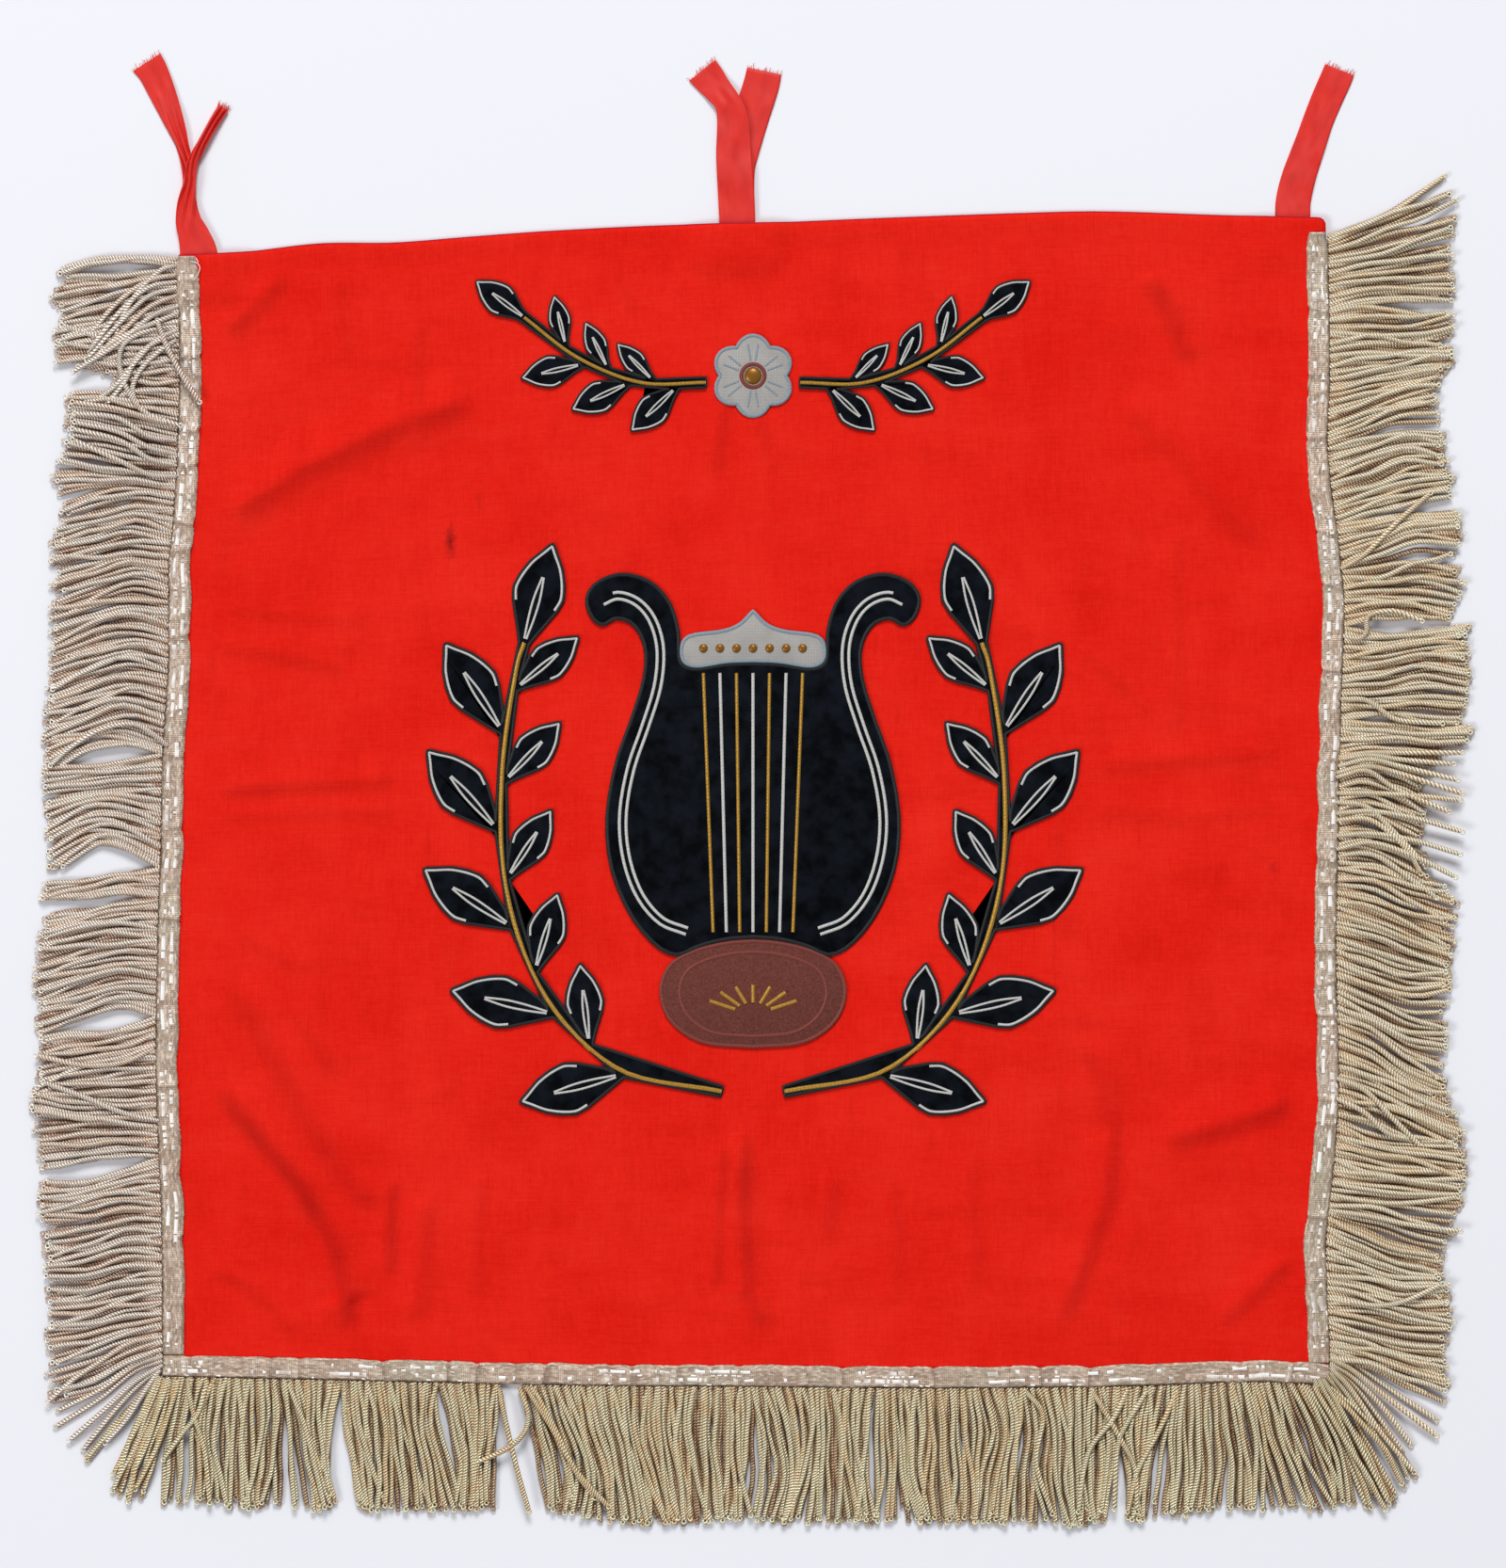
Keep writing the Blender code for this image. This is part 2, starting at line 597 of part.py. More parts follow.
def make_applique(name, outline, material, mirrored=False):
    """A flat sewn-on piece, cut to an outline and laid a seam's gap above the cloth."""
    side = -1 if mirrored else 1
    base = CLOTH_THICK + SEAM_GAP
    bm = bmesh.new()
    face = bm.faces.new([bm.verts.new((side * x, y, base)) for x, y in outline])
    raised = bmesh.ops.extrude_face_region(bm, geom=[face])
    lifted = [item for item in raised["geom"] if isinstance(item, bmesh.types.BMVert)]
    bmesh.ops.translate(bm, vec=(0, 0, APPLIQUE_THICK), verts=lifted)
    finish(name, bm, material)


def mirrored_outline(half):
    """Outline that is alike on both sides of the banner's middle line."""
    return list(half) + [(-x, y) for x, y in reversed(half[1:-1])]


def stem_point(stem, part):
    """Point of a stem and the way it grows there, on a smooth curve through its points."""
    rows = [(index, x, y) for index, (x, y) in enumerate(stem)]
    at = part * (len(stem) - 1)
    step = 0.02
    here = Vector((read(rows, at, 1), read(rows, at, 2)))
    before = Vector((read(rows, at - step, 1), read(rows, at - step, 2)))
    after = Vector((read(rows, at + step, 1), read(rows, at + step, 2)))
    return here, (after - before).normalized()


def leaf_side(root, way, length, half):
    """Points along one side of a leaf from its root to its tip; half is negative on the left side."""
    across = Vector((way.y, -way.x))
    return [root + way * length * part + across * half * swell for part, swell in LEAF_PARTS]


def leafy_outline(stem, pairs, first, outer, inner):
    """Outline of a stem with a leaf at its end, and pairs of leaves, each with its length and half width."""
    sides = {1: [], -1: []}
    for side, (length, half) in ((1, outer), (-1, inner)):
        root, way = stem_point(stem, 0.0)
        across = Vector((way.y, -way.x)) * side * STEM_HALF
        sides[side].append(root + across)
        for pair in range(pairs):
            shift = 0.5 * (side < 0)
            part = first + (LAST_PAIR - first) * (pair + shift) / pairs
            root, way = stem_point(stem, part)
            grown = turned(way, -side * LEAF_ANGLE)
            across = Vector((way.y, -way.x)) * side * STEM_HALF
            sides[side].append(root + across - way * LEAF_ROOT_HALF)
            sides[side].extend(leaf_side(root + across, grown, length, side * half))
            sides[side].append(root + across + grown * length)
            sides[side].extend(reversed(leaf_side(root + across, grown, length, -side * half)))
            sides[side].append(root + across + way * LEAF_ROOT_HALF)
    length, half = outer
    root, way = stem_point(stem, 1.0)
    tip = [root + Vector((way.y, -way.x)) * STEM_HALF] + leaf_side(root, way, length, half)
    tip += [root + way * length]
    tip += list(reversed(leaf_side(root, way, length, -half))) + [root - Vector((way.y, -way.x)) * STEM_HALF]
    return [tuple(point) for point in sides[1] + tip + list(reversed(sides[-1]))]


def flower_outline():
    """Outline of a round flower with blunt petals."""
    outline = []
    for step in range(FLOWER_PETALS * 6):
        turn = math.tau * step / (FLOWER_PETALS * 6)
        radius = FLOWER_RADIUS * (0.80 + 0.20 * abs(math.sin(FLOWER_PETALS * turn / 2)))
        x, y = FLOWER_CENTRE
        outline.append((x + radius * math.cos(turn), y + radius * math.sin(turn)))
    return outline


def make_design(materials):
    """The sewn-on design: a lyre between two leafy sprays, under a festoon with a flower."""
    velvet = materials["black_velvet"]
    spray = leafy_outline(SPRAY_STEM, SPRAY_PAIRS, SPRAY_FIRST, SPRAY_OUTER_LEAF, SPRAY_INNER_LEAF)
    festoon = leafy_outline(
        FESTOON_STEM, FESTOON_PAIRS, FESTOON_FIRST, FESTOON_OUTER_LEAF, FESTOON_INNER_LEAF)
    for side, mirrored in (("right", False), ("left", True)):
        make_applique("spray_" + side, spray, velvet, mirrored)
        make_applique("festoon_" + side, festoon, velvet, mirrored)
    make_applique("lyre_body", mirrored_outline(BODY_HALF), velvet)
    make_applique("lyre_bowl", mirrored_outline(BOWL_HALF), materials["brown_felt"])
    make_applique("lyre_yoke", mirrored_outline(YOKE_HALF), materials["grey_cloth"])
    make_applique("festoon_flower", flower_outline(), materials["grey_cloth"])


def main():
    for item in list(bpy.data.objects):
        bpy.data.objects.remove(item, do_unlink=True)
    materials = make_materials()
    surface = make_cloth(materials["red_cloth"])
    for name, cords, first, last, shape, seed in FRINGES:
        make_fringe(surface, name, cords, first, last, shape, seed, materials["silver_bullion"])
    for name, lower, upper, lying in TIES:
        make_tie(name, lower, upper, lying, materials["red_ribbon"])
    make_design(materials)


main()
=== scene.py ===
"""Trumpet banner lying face up: the finish of its cloth, bullion fringe, ribbon ties and sewn-on design.

The tables and sizes are millimetres in the frame of the CAD model: +X right, +Y towards the ties, +Z up.
finish_piece() turns them into metres. The headings' lines, the top edge, the ribbons' tails and the outlines
of the design are those of the part's source. The fringe and the folds are measured again, more finely.
"""
import math
import random
from bisect import bisect_right

import bmesh
import bpy
from mathutils import Matrix, Vector, noise


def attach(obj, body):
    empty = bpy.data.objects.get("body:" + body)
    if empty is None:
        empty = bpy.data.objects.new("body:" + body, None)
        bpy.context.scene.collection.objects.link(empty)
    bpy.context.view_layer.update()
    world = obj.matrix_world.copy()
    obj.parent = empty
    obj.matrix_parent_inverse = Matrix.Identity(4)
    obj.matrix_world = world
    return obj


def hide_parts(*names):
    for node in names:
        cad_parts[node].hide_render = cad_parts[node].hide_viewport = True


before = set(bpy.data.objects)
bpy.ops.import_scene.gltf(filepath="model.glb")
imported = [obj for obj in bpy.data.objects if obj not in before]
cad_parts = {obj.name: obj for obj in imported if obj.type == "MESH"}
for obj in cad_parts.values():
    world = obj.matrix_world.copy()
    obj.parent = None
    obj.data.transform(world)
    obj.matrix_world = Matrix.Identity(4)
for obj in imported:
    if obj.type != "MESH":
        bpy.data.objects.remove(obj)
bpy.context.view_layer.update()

MM = 0.001
UP = Vector((0, 0, 1))

# Photograph: 1600 by 1666 pixels of 0.42 mm, taken straight from above
PIXEL = 0.42
PHOTO_HEIGHT = 1666 * PIXEL
PHOTO_MIDDLE = (0.0, (845 - 833) * PIXEL)
CAMERA_DISTANCE = 2000.0
SENSOR = 36.0

# Cloth
CLOTH_THICK = 1.2
SHEET_THICK = 0.9
FIELD_WIDTH = 519.0
FIELD_HEIGHT = 512.0
CLOTH_ACROSS = 210
CLOTH_UP = 206
HEM_DEPTH = 7.0
HEM_EXTRA = 0.6
HEM_ROUND = 3.2
CLOTH_INSET = 1.0
FIRST_HEIGHT = 510.0
LIFTED_FROM = 200.0
LIFT_SHAPE = 0.6

# Heading of the fringe: woven tape with flat wires laid in rows
HEADING_HALF = 4.8
HEADING_THICK = 0.8
HEADING_STEP = 0.8
PICOT_PITCH = 1.6
GATHER_GAPS = (7, 12, 20, 28, 36)
WIRE_LENGTHS = (0.9, 1.3, 2.0, 3.0, 4.5, 6.5, 9.0)
WIRE_GAPS = (0.5, 0.8, 1.2, 2.0, 4.0)
WIRE_THICK = 0.25
WIRE_ROWS = (
    # how far out, share that shows, widest
    (1.9, 0.85, 1.9), (-1.8, 0.70, 1.8), (0.0, 0.20, 0.9), (3.8, 0.15, 0.8),
)
WIRE_SHINE = {"left": 0.95, "bottom": 0.60, "right": 0.80}

# Cords of the fringe
CORD_RADIUS = 1.2
CORD_SIDES = 5
CORD_CUTS = 8
CORD_STEPS = 8
CORD_LOWEST = CORD_RADIUS + 0.05
CORD_LAYERS = (
    # name, pitch, where the first stands in its pitch, how high it lies, how far it strays and is drawn
    ("under", 2.2, 0.25, 0.0, 0.3, 0.5),
    ("middle", 3.4, 0.75, 1.5, 1.4, 2.4),
    ("over", 5.2, 0.5, 2.9, 2.6, 3.2),
)
LOOSE_CUTS = 15
LOOSE_STEPS = 16
LOOSE_HEIGHT = 5.4
ROOT_HEIGHT = 2.2
LOOSE_ROOT_HEIGHT = 2.4
LOOP_RADIUS = 0.95
LOOP_WIRE = 0.40
LOOP_BEYOND = 1.15
RIDGE_PITCH = 1.3
RIDGE_STARTS = 3
THREAD_WIDTH = 0.34
THREAD_THICK = 0.25

# Ribbon
RIBBON_WIDTH = 16.0
RIBBON_THICK = 0.35
LOWER_HEIGHT = 0.55
UPPER_HEIGHT = 1.9
RIBBON_LOWEST = 0.45
RIBBON_STEPS = 44
RIBBON_ACROSS = 20
BUNCHED_BELOW = 13.0
FRAYS = 26
FRAY_WIDTH = 0.22

# Sewn-on design
DESIGN_BASE = 1.35
DESIGN_THICK = 1.0
DESIGN_TOP = DESIGN_BASE + DESIGN_THICK
STITCH_STEP = 1.1
STITCH_SUNK = 0.1

# Floor, surroundings and lights
FLOOR_HALF = 2.5
FLOOR_COLOUR = (0.86, 0.87, 0.91, 1.0)
SURROUND_COLOUR = (0.93, 0.95, 1.0, 1.0)
SURROUND_STRENGTH = 0.34
LIGHTS = (
    # name, place and size in metres, watts
    ("soft_light", (0.2, 5.6, 5.0), 2.6, 400.0),
    ("side_light", (-5.0, -2.6, 4.8), 2.6, 195.0),
)

# Middle lines of the headings and the cloth's top edge, each in rising order
LEFT_LINE = (
    # y, x
    (-262, -258.6), (-191, -259), (-128, -261.4), (-65, -260.8), (-23, -259.4), (19, -258.5), (61, -256),
    (103, -255.8), (120, -254), (153, -252), (195, -251), (240, -252),
)
RIGHT_LINE = (
    # y, x
    (-262, 253.2), (-200, 250.8), (-165, 254.2), (-132, 256.4), (-65, 255.2), (-23, 256.2), (19, 257),
    (52, 257.9), (82, 258.9), (103, 257.5), (153, 251.6), (187, 252.4), (257, 251.4),
)
BOTTOM_LINE = (
    # x, y
    (-264, -254.3), (-168, -256.4), (-84, -258.3), (0, -258.9), (84, -259.6), (168, -258.7),
    (227, -256.8), (258, -258.8),
)
TOP_LINE = (
    # x, y
    (-256, 240.7), (-227, 242.3), (-193, 246.1), (-160, 246.5), (-126, 249.1), (-92, 251.6),
    (-42, 254.1), (8, 255.4), (59, 257.5), (118, 259.6), (155, 260.4), (210, 258.7), (256, 257.5),
)

# How far the cloth shows beyond the outer edge of the side headings
LEFT_SHOWS = (
    # y, how far
    (-262, 0), (-252, 0), (-242, 3.5), (-200, 3.5), (-182, 0), (260, 0),
)
RIGHT_SHOWS = (
    # y, how far
    (-262, 0), (-252, 0), (-243, 3), (-225, 3), (-218, 0), (-211, 0), (-205, 3), (-193, 2.5), (-186, 0),
    (-180, 0), (-172, 2.5), (-164, 0), (260, 0),
)

# Folds that stand up from the cloth, each with how dark the shade painted along it is
FOLDS = (
    # height, half width, painted shade, crest points (x, y)
    (2.6, 9.0, 0.12, ((-237, 120), (-197, 145), (-160, 162), (-122, 175))),
    (1.2, 6.0, 0.10, ((-240, 1), (-195, 4), (-157, 6))),
    (2.8, 7.0, 0.31, ((-240, -128), (-227, -145), (-202, -174), (-187, -199), (-181, -224), (-178, -241))),
    (1.8, 8.0, 0.13, ((-236, -80), (-206, -132), (-192, -158), (-168, -188))),
    (1.3, 7.0, 0.07, ((-144, -178), (-146, -206), (-149, -236))),
    (2.0, 6.0, 0.20, ((-3, -148), (-4, -190), (-1, -222), (5, -241))),
    (1.6, 7.0, 0.12, ((146, -106), (153, -123), (161, -151), (160, -178), (150, -205), (137, -241))),
    (2.3, 8.0, 0.10, ((241, -138), (213, -148), (184, -156))),
    (1.5, 6.0, 0.08, ((241, -207), (228, -219), (209, -237))),
    (1.0, 6.0, 0.05, ((152, 12), (195, 15), (239, 18))),
    (1.8, 7.0, 0.20, ((175, 232), (186, 215), (193, 192))),
    (1.6, 8.0, 0.05, ((162, 175), (184, 156), (204, 133), (223, 109))),
    (1.5, 7.0, 0.12, ((-234, 204), (-222, 216), (-206, 231))),
    (1.0, 6.0, 0.05, ((-240, 66), (-215, 62), (-180, 55))),
)

# Finer creases of the thin sheet, some of them troughs
CREASES = (
    # height, half width, painted shade, points (x, y)
    (-0.7, 5.0, 0.05, ((-240, 108), (-199, 132), (-160, 150), (-118, 163))),
    (0.6, 4.0, 0.05, ((-238, -11), (-205, -9), (-155, -8))),
    (0.8, 5.0, 0.20, ((-160, -170), (-161, -195), (-161, -216))),
    (0.7, 4.5, 0.10, ((-243, -211), (-226, -219), (-203, -241))),
    (0.7, 4.0, 0.17, ((-12, -154), (-14, -185), (-16, -222))),
    (-0.5, 4.0, 0.05, ((3, -165), (4, -205), (8, -235))),
    (0.7, 5.0, 0.13, ((-8, 187), (-13, 168), (-16, 142))),
    (0.7, 5.0, 0.12, ((0, 187), (4, 165), (10, 142))),
    (0.7, 5.0, 0.08, ((134, -11), (138, -38), (141, -65))),
    (0.6, 6.0, 0.08, ((-184, 232), (-183, 215), (-180, 192))),
    (0.6, 6.0, 0.10, ((-148, 214), (-149, 190), (-146, 152))),
    (0.5, 6.0, 0.04, ((189, 120), (190, 70), (189, 22))),
    (0.6, 5.0, 0.07, ((-66, 247), (-60, 228), (-52, 214))),
    (0.6, 5.0, 0.07, ((66, 249), (74, 232), (80, 216))),
    (0.5, 5.0, 0.05, ((-231, -60), (-214, -72), (-196, -80))),
    (0.5, 5.0, 0.06, ((145, 66), (162, 50), (178, 33))),
    (0.5, 6.0, 0.09, ((38, -168), (35, -184), (33, -202))),
    (0.4, 5.0, 0.06, ((-238, 84), (-210, 79), (-170, 76))),
    (0.4, 5.0, 0.05, ((150, -8), (190, -12), (236, -6))),
    (0.5, 5.0, 0.08, ((-205, -96), (-196, -112), (-184, -128))),
    (0.4, 5.0, 0.05, ((-120, -168), (-122, -196), (-121, -226))),
    (0.4, 5.0, 0.05, ((62, -170), (66, -196), (64, -230))),
    (0.4, 5.0, 0.05, ((100, -158), (98, -190), (101, -226))),
)

# The way in which the folds fall off gently, and how many half widths they reach there and on the other side
GENTLE_WAY = Vector((-0.2, 0.98))
GENTLE_REACH = 2.2
STEEP_REACH = 1.2
CREST_SHIFT = 0.3
CREASE_MARGIN = 2.6

# Dark marks on the cloth: two old smears, a thin line beside the left spray that is painted shade of a
# pucker, a spot and a long thin line
MARKS = (
    # x, y, half width, half height, depth, colour
    (-135.2, 113.4, 3.4, 8.5, 1.0, (0.30, 0.006, 0.004)),
    (-122.0, 132.0, 2.4, 6.0, 0.45, (0.48, 0.008, 0.005)),
    (-144.9, -23.1, 0.8, 17.0, 0.35, (0.50, 0.008, 0.006)),
    (232.3, -32.3, 3.4, 3.4, 0.55, (0.55, 0.01, 0.008)),
    (134.4, -59.0, 1.2, 32.0, 0.30, (0.52, 0.008, 0.006)),
)

# Uneven threads of the cloth, long either way, then longer and broader ones
SLUBS = (
    # how closely they lie across and up, for each millimetre, and how strongly they show
    (0.06, 1.3, 0.9), (1.3, 0.06, 0.9), (0.018, 0.075, 0.7), (0.075, 0.02, 0.6),
)

# How the cords run along each heading: rising rows, each for one cord, with its place along the heading at
# its root, a third and two thirds of the way out and its tip, and how far out it reaches. The cords
# between two rows take shapes between theirs, and none grows where two roots are PARTING apart or less
LEFT_FRINGE = (
    # root, a third, two thirds, tip, reach
    (-253, -262, -273, -279, 47), (-247, -254, -263, -267, 47), (-239, -242, -247, -252, 49),
    (-225, -227, -231, -233, 49), (-208, -208, -213, -213, 49), (-191, -191, -195, -197, 50),
    (-175, -175, -179, -181, 52), (-162, -168, -173, -173, 50), (-161, -160, -163, -166, 51),
    (-148, -147, -147, -147, 53), (-136, -136, -135, -131, 53), (-124, -125, -127, -131, 51),
    (-112, -115, -117, -120, 50), (-99, -105, -106, -109, 49), (-98, -94, -99, -105, 50),
    (-90, -88, -94, -99, 51), (-74, -72, -76, -81, 52), (-59, -59, -61, -65, 52), (-45, -47, -50, -52, 47),
    (-45, -43, -45, -45, 50), (-32, -35, -38, -41, 49), (-32, -23, -22, -32, 47), (-23, -16, -15, -24, 47),
    (-11, -7, -8, -15, 49), (2, 3, 2, -1, 50), (18, 14, 12, 12, 50), (19, 23, 21, 13, 48),
    (20, 26, 26, 16, 49), (29, 34, 28, 23, 51), (42, 46, 41, 35, 51), (55, 59, 55, 49, 51),
    (69, 73, 69, 62, 50), (82, 85, 82, 77, 50), (94, 99, 94, 88, 50), (106, 107, 104, 101, 49),
    (119, 124, 120, 115, 52), (125, 127, 123, 119, 50), (133, 136, 134, 128, 48), (140, 141, 142, 142, 53),
    (144, 145, 147, 150, 50), (149, 151, 154, 157, 48), (158, 161, 164, 166, 47), (167, 170, 173, 174, 48),
    (175, 177, 178, 177, 47), (179, 180, 180, 180, 27), (188, 188, 187, 187, 26), (196, 195, 193, 191, 40),
    (201, 199, 197, 196, 53), (210, 208, 206, 203, 54), (221, 220, 217, 215, 49), (229, 228, 225, 222, 54),
    (233, 231, 229, 228, 50), (234.4, 232, 231, 230.6, 46), (235.6, 238.2, 237.4, 233, 50),
    (239, 239.2, 238.2, 234, 50.5),
)
BOTTOM_FRINGE = (
    # root, a third, two thirds, tip, reach
    (-267, -279, -292, -302, 29), (-265, -275, -286, -296, 36), (-264, -270, -277, -285, 50),
    (-260, -265, -272, -277, 54), (-256, -260, -264, -268, 48), (-254, -258, -260, -263, 55),
    (-249, -255, -256, -255, 54), (-247, -249, -246, -247, 53), (-241, -245, -243, -243, 54),
    (-237, -240, -240, -238, 55), (-230, -231, -231, -231, 56), (-214, -213, -214, -216, 55),
    (-206, -202, -199, -195, 56), (-191, -192, -191, -189, 55), (-184, -188, -190, -190, 54),
    (-183, -181, -178, -175, 55), (-172, -170, -169, -169, 56), (-160, -158, -155, -153, 55),
    (-141, -141, -136, -132, 54), (-139, -133, -130, -134, 53), (-130, -129, -127, -126, 54),
    (-118, -118, -120, -120, 54), (-113, -115, -116, -116, 53), (-103, -100, -96, -92, 53),
    (-88, -82, -76, -79, 56), (-67, -64, -59, -56, 59), (-46, -46, -42, -37, 59), (-25, -26, -24, -22, 58),
    (-4, -4, -5, -6, 56), (5, 8, 11, 7, 58), (23, 27, 25, 21, 58), (42, 41, 43, 46, 58),
    (55, 51, 51, 53, 58), (57, 58, 60, 59, 56), (71, 72, 72, 77, 58), (92, 92, 93, 92, 57),
    (105, 110, 106, 103, 58), (118, 119, 117, 116, 58), (128, 133, 131, 133, 59), (143, 143, 143, 145, 60),
    (162, 161, 160, 157, 57), (163, 163, 167, 167, 56), (181, 177, 173, 171, 58), (191, 191, 191, 189, 56),
    (204, 204, 205, 202, 55), (223, 227, 231, 235, 54), (235, 240, 246, 254, 55), (246, 255, 262, 265, 52),
    (250, 261, 270, 276, 53), (254, 267, 278, 286, 50), (256, 273, 287, 295, 38),
)
RIGHT_FRINGE = (
    # root, a third, two thirds, tip, reach
    (-257, -266, -275, -286, 44), (-254, -258, -267, -275, 46), (-250, -252, -257, -262, 52),
    (-242, -246, -250, -252, 49), (-227, -228, -232, -234, 52), (-217, -221, -226, -226, 54),
    (-200, -206, -212, -217, 49), (-188, -194, -200, -205, 49), (-184, -188, -193, -196, 53),
    (-181, -183, -185, -187, 55), (-166, -169, -171, -173, 56), (-146, -154, -156, -158, 55),
    (-143, -147, -153, -157, 42), (-136, -139, -146, -154, 54), (-128, -133, -141, -148, 51),
    (-116, -122, -131, -137, 47), (-101, -108, -118, -123, 45), (-88, -96, -103, -106, 46),
    (-76, -81, -86, -85, 48), (-63, -67, -72, -76, 48), (-46, -50, -57, -62, 50), (-34, -36, -42, -47, 51),
    (-25, -25, -32, -38, 40), (-18, -18, -23, -28, 36), (-10, -8, -12, -18, 35), (0, 1, -2, -7, 35),
    (13, 16, 14, 10, 36), (19, 20, 19, 18, 45), (23, 25, 24, 24, 56), (33, 31, 29, 29, 56),
    (34, 36, 33, 32, 51), (46, 47, 51, 49, 55), (59, 61, 65, 66, 53), (74.5, 71, 72.5, 75, 53),
    (75.8, 80, 80, 79.5, 43), (82, 84, 83, 80, 45), (94, 95, 97, 97, 53), (100, 101, 104, 102, 49),
    (103, 109, 115, 114, 51), (120, 123, 125, 126, 52), (121, 126, 130, 133, 48), (129, 134, 139, 142, 52),
    (141, 146, 153, 152, 47), (155, 159, 163, 162, 50), (158, 164, 170, 172, 46), (172, 177, 182, 186, 47),
    (185, 188, 191, 193, 52), (199, 200, 199, 200, 52), (210, 210, 210, 214, 53), (215, 218, 216, 214, 43),
    (216, 220, 221, 221, 53), (221, 226, 226, 225, 54), (229, 231, 232, 235, 53), (235, 237, 241, 244, 53),
    (243, 248, 253, 259, 55), (246.5, 253, 260, 268, 52), (250, 256, 265, 277, 50),
)
PARTING = 1.4

# Stretches of a heading where hardly a cord is left
BARE = (
    # fringe, from, to
    ("bottom", -112.5, -104.0),
)

# Single cords that lie across the others
LOOSE_CORDS = (
    # fringe, points (x, y) from the heading to the tip
    ("left", ((-256, 236), (-263, 234), (-272, 226), (-279, 216), (-284, 205))),
    ("left", ((-256, 232), (-269, 229), (-282, 220), (-294, 207))),
    ("left", ((-256, 229), (-269, 226), (-281, 216), (-293, 201), (-295, 198))),
    ("left", ((-256, 226), (-269, 222), (-281, 211), (-296, 195))),
    ("left", ((-256, 223), (-269, 217), (-282, 205), (-295, 193))),
    ("left", ((-256, 218), (-268, 213), (-284, 200), (-302, 189))),
    ("left", ((-256, 215), (-267, 210), (-275, 207), (-286, 201), (-294, 194))),
    ("left", ((-257, 209), (-269, 207), (-279, 202), (-282, 195), (-281, 187), (-277, 178),
              (-270, 170), (-256, 165))),
    ("left", ((-257, 205), (-267, 201), (-275, 194), (-279, 185), (-287, 175))),
    ("left", ((-257, 203), (-265, 197), (-272, 190), (-276, 182), (-275, 175))),
    ("left", ((-257, 207), (-265, 203), (-273, 195), (-283, 183), (-291, 177))),
    ("left", ((-266, 215), (-264, 208), (-260, 198), (-254, 187), (-247, 176))),
    ("left", ((-257, 165), (-269, 168), (-283, 172), (-302, 175))),
    ("left", ((-257, 158), (-269, 160), (-283, 168), (-301, 170))),
    ("left", ((-257, 152), (-269, 155), (-283, 162), (-301, 166))),
    ("left", ((-257, 147), (-269, 150), (-282, 158), (-302, 163))),
    ("left", ((-257, 142), (-269, 143), (-282, 149), (-302, 158))),
    ("left", ((-261, 22), (-268, 28), (-277, 32), (-291, 29), (-304, 21), (-312, 14))),
    ("left", ((-267, -113), (-281, -119), (-298, -120), (-318, -116))),
    ("left", ((-265, -145), (-281, -141), (-298, -134), (-315, -128))),
    ("right", ((262, 101), (273, 108), (288, 123), (301, 134))),
    ("right", ((263, 71), (270, 70), (273, 73), (273, 78), (276, 81), (286, 82), (297, 78))),
    ("right", ((262, 43), (274, 42), (286, 34), (306, 32))),
    ("right", ((261, 17), (274, 19), (288, 19), (315, 19))),
    ("right", ((261, 16), (274, 18), (288, 16), (311, 14))),
    ("right", ((261, 13), (274, 16), (288, 13), (313, 7))),
    ("right", ((260, 10), (273, 13), (287, 10), (315, 1))),
    ("right", ((260, 1), (275, 1), (294, -0), (314, -2))),
    ("right", ((260, 8), (273, 11), (286, 3), (309, -7))),
    ("right", ((260, -8), (275, -7), (294, -10), (315, -16))),
    ("right", ((260, -18), (275, -17), (294, -20), (314, -26))),
    ("right", ((260, -24), (275, -21), (294, -27), (312, -36))),
    ("right", ((260, -3), (273, -5), (285, -16), (299, -31))),
    ("right", ((260, -11), (275, -11), (290, -23), (297, -34))),
    ("right", ((260, -126), (272, -131), (284, -143), (297, -156))),
    ("right", ((260, -135), (272, -141), (282, -150), (292, -153))),
    ("right", ((257, -185), (273, -187), (292, -191), (314, -194))),
    ("right", ((260, -224), (277, -227), (290, -225), (306, -218))),
    ("bottom", ((-113, -264), (-110, -279), (-105, -300), (-100, -318))),
    ("bottom", ((-104, -264), (-100, -275), (-102, -284), (-110, -291), (-123, -297))),
    ("bottom", ((-101, -264), (-91, -279), (-79, -300), (-65, -316))),
    ("bottom", ((-98, -264), (-89, -280), (-80, -299), (-71, -312))),
    ("bottom", ((-207, -262), (-200, -279), (-195, -298), (-191, -316))),
    ("bottom", ((167, -265), (160, -278), (151, -289), (147, -301), (145, -318))),
    ("bottom", ((151, -265), (157, -275), (165, -289), (170, -300), (171, -318))),
    ("bottom", ((176, -265), (166, -280), (162, -292), (161, -317))),
    ("bottom", ((189, -265), (180, -284), (171, -301), (167, -318))),
    ("bottom", ((121, -265), (129, -276), (126, -297), (133, -319))),
    ("bottom", ((-243, -261), (-247, -275), (-254, -284), (-262, -295))),
    ("bottom", ((-252, -260), (-249, -275), (-244, -292), (-242, -314))),
)

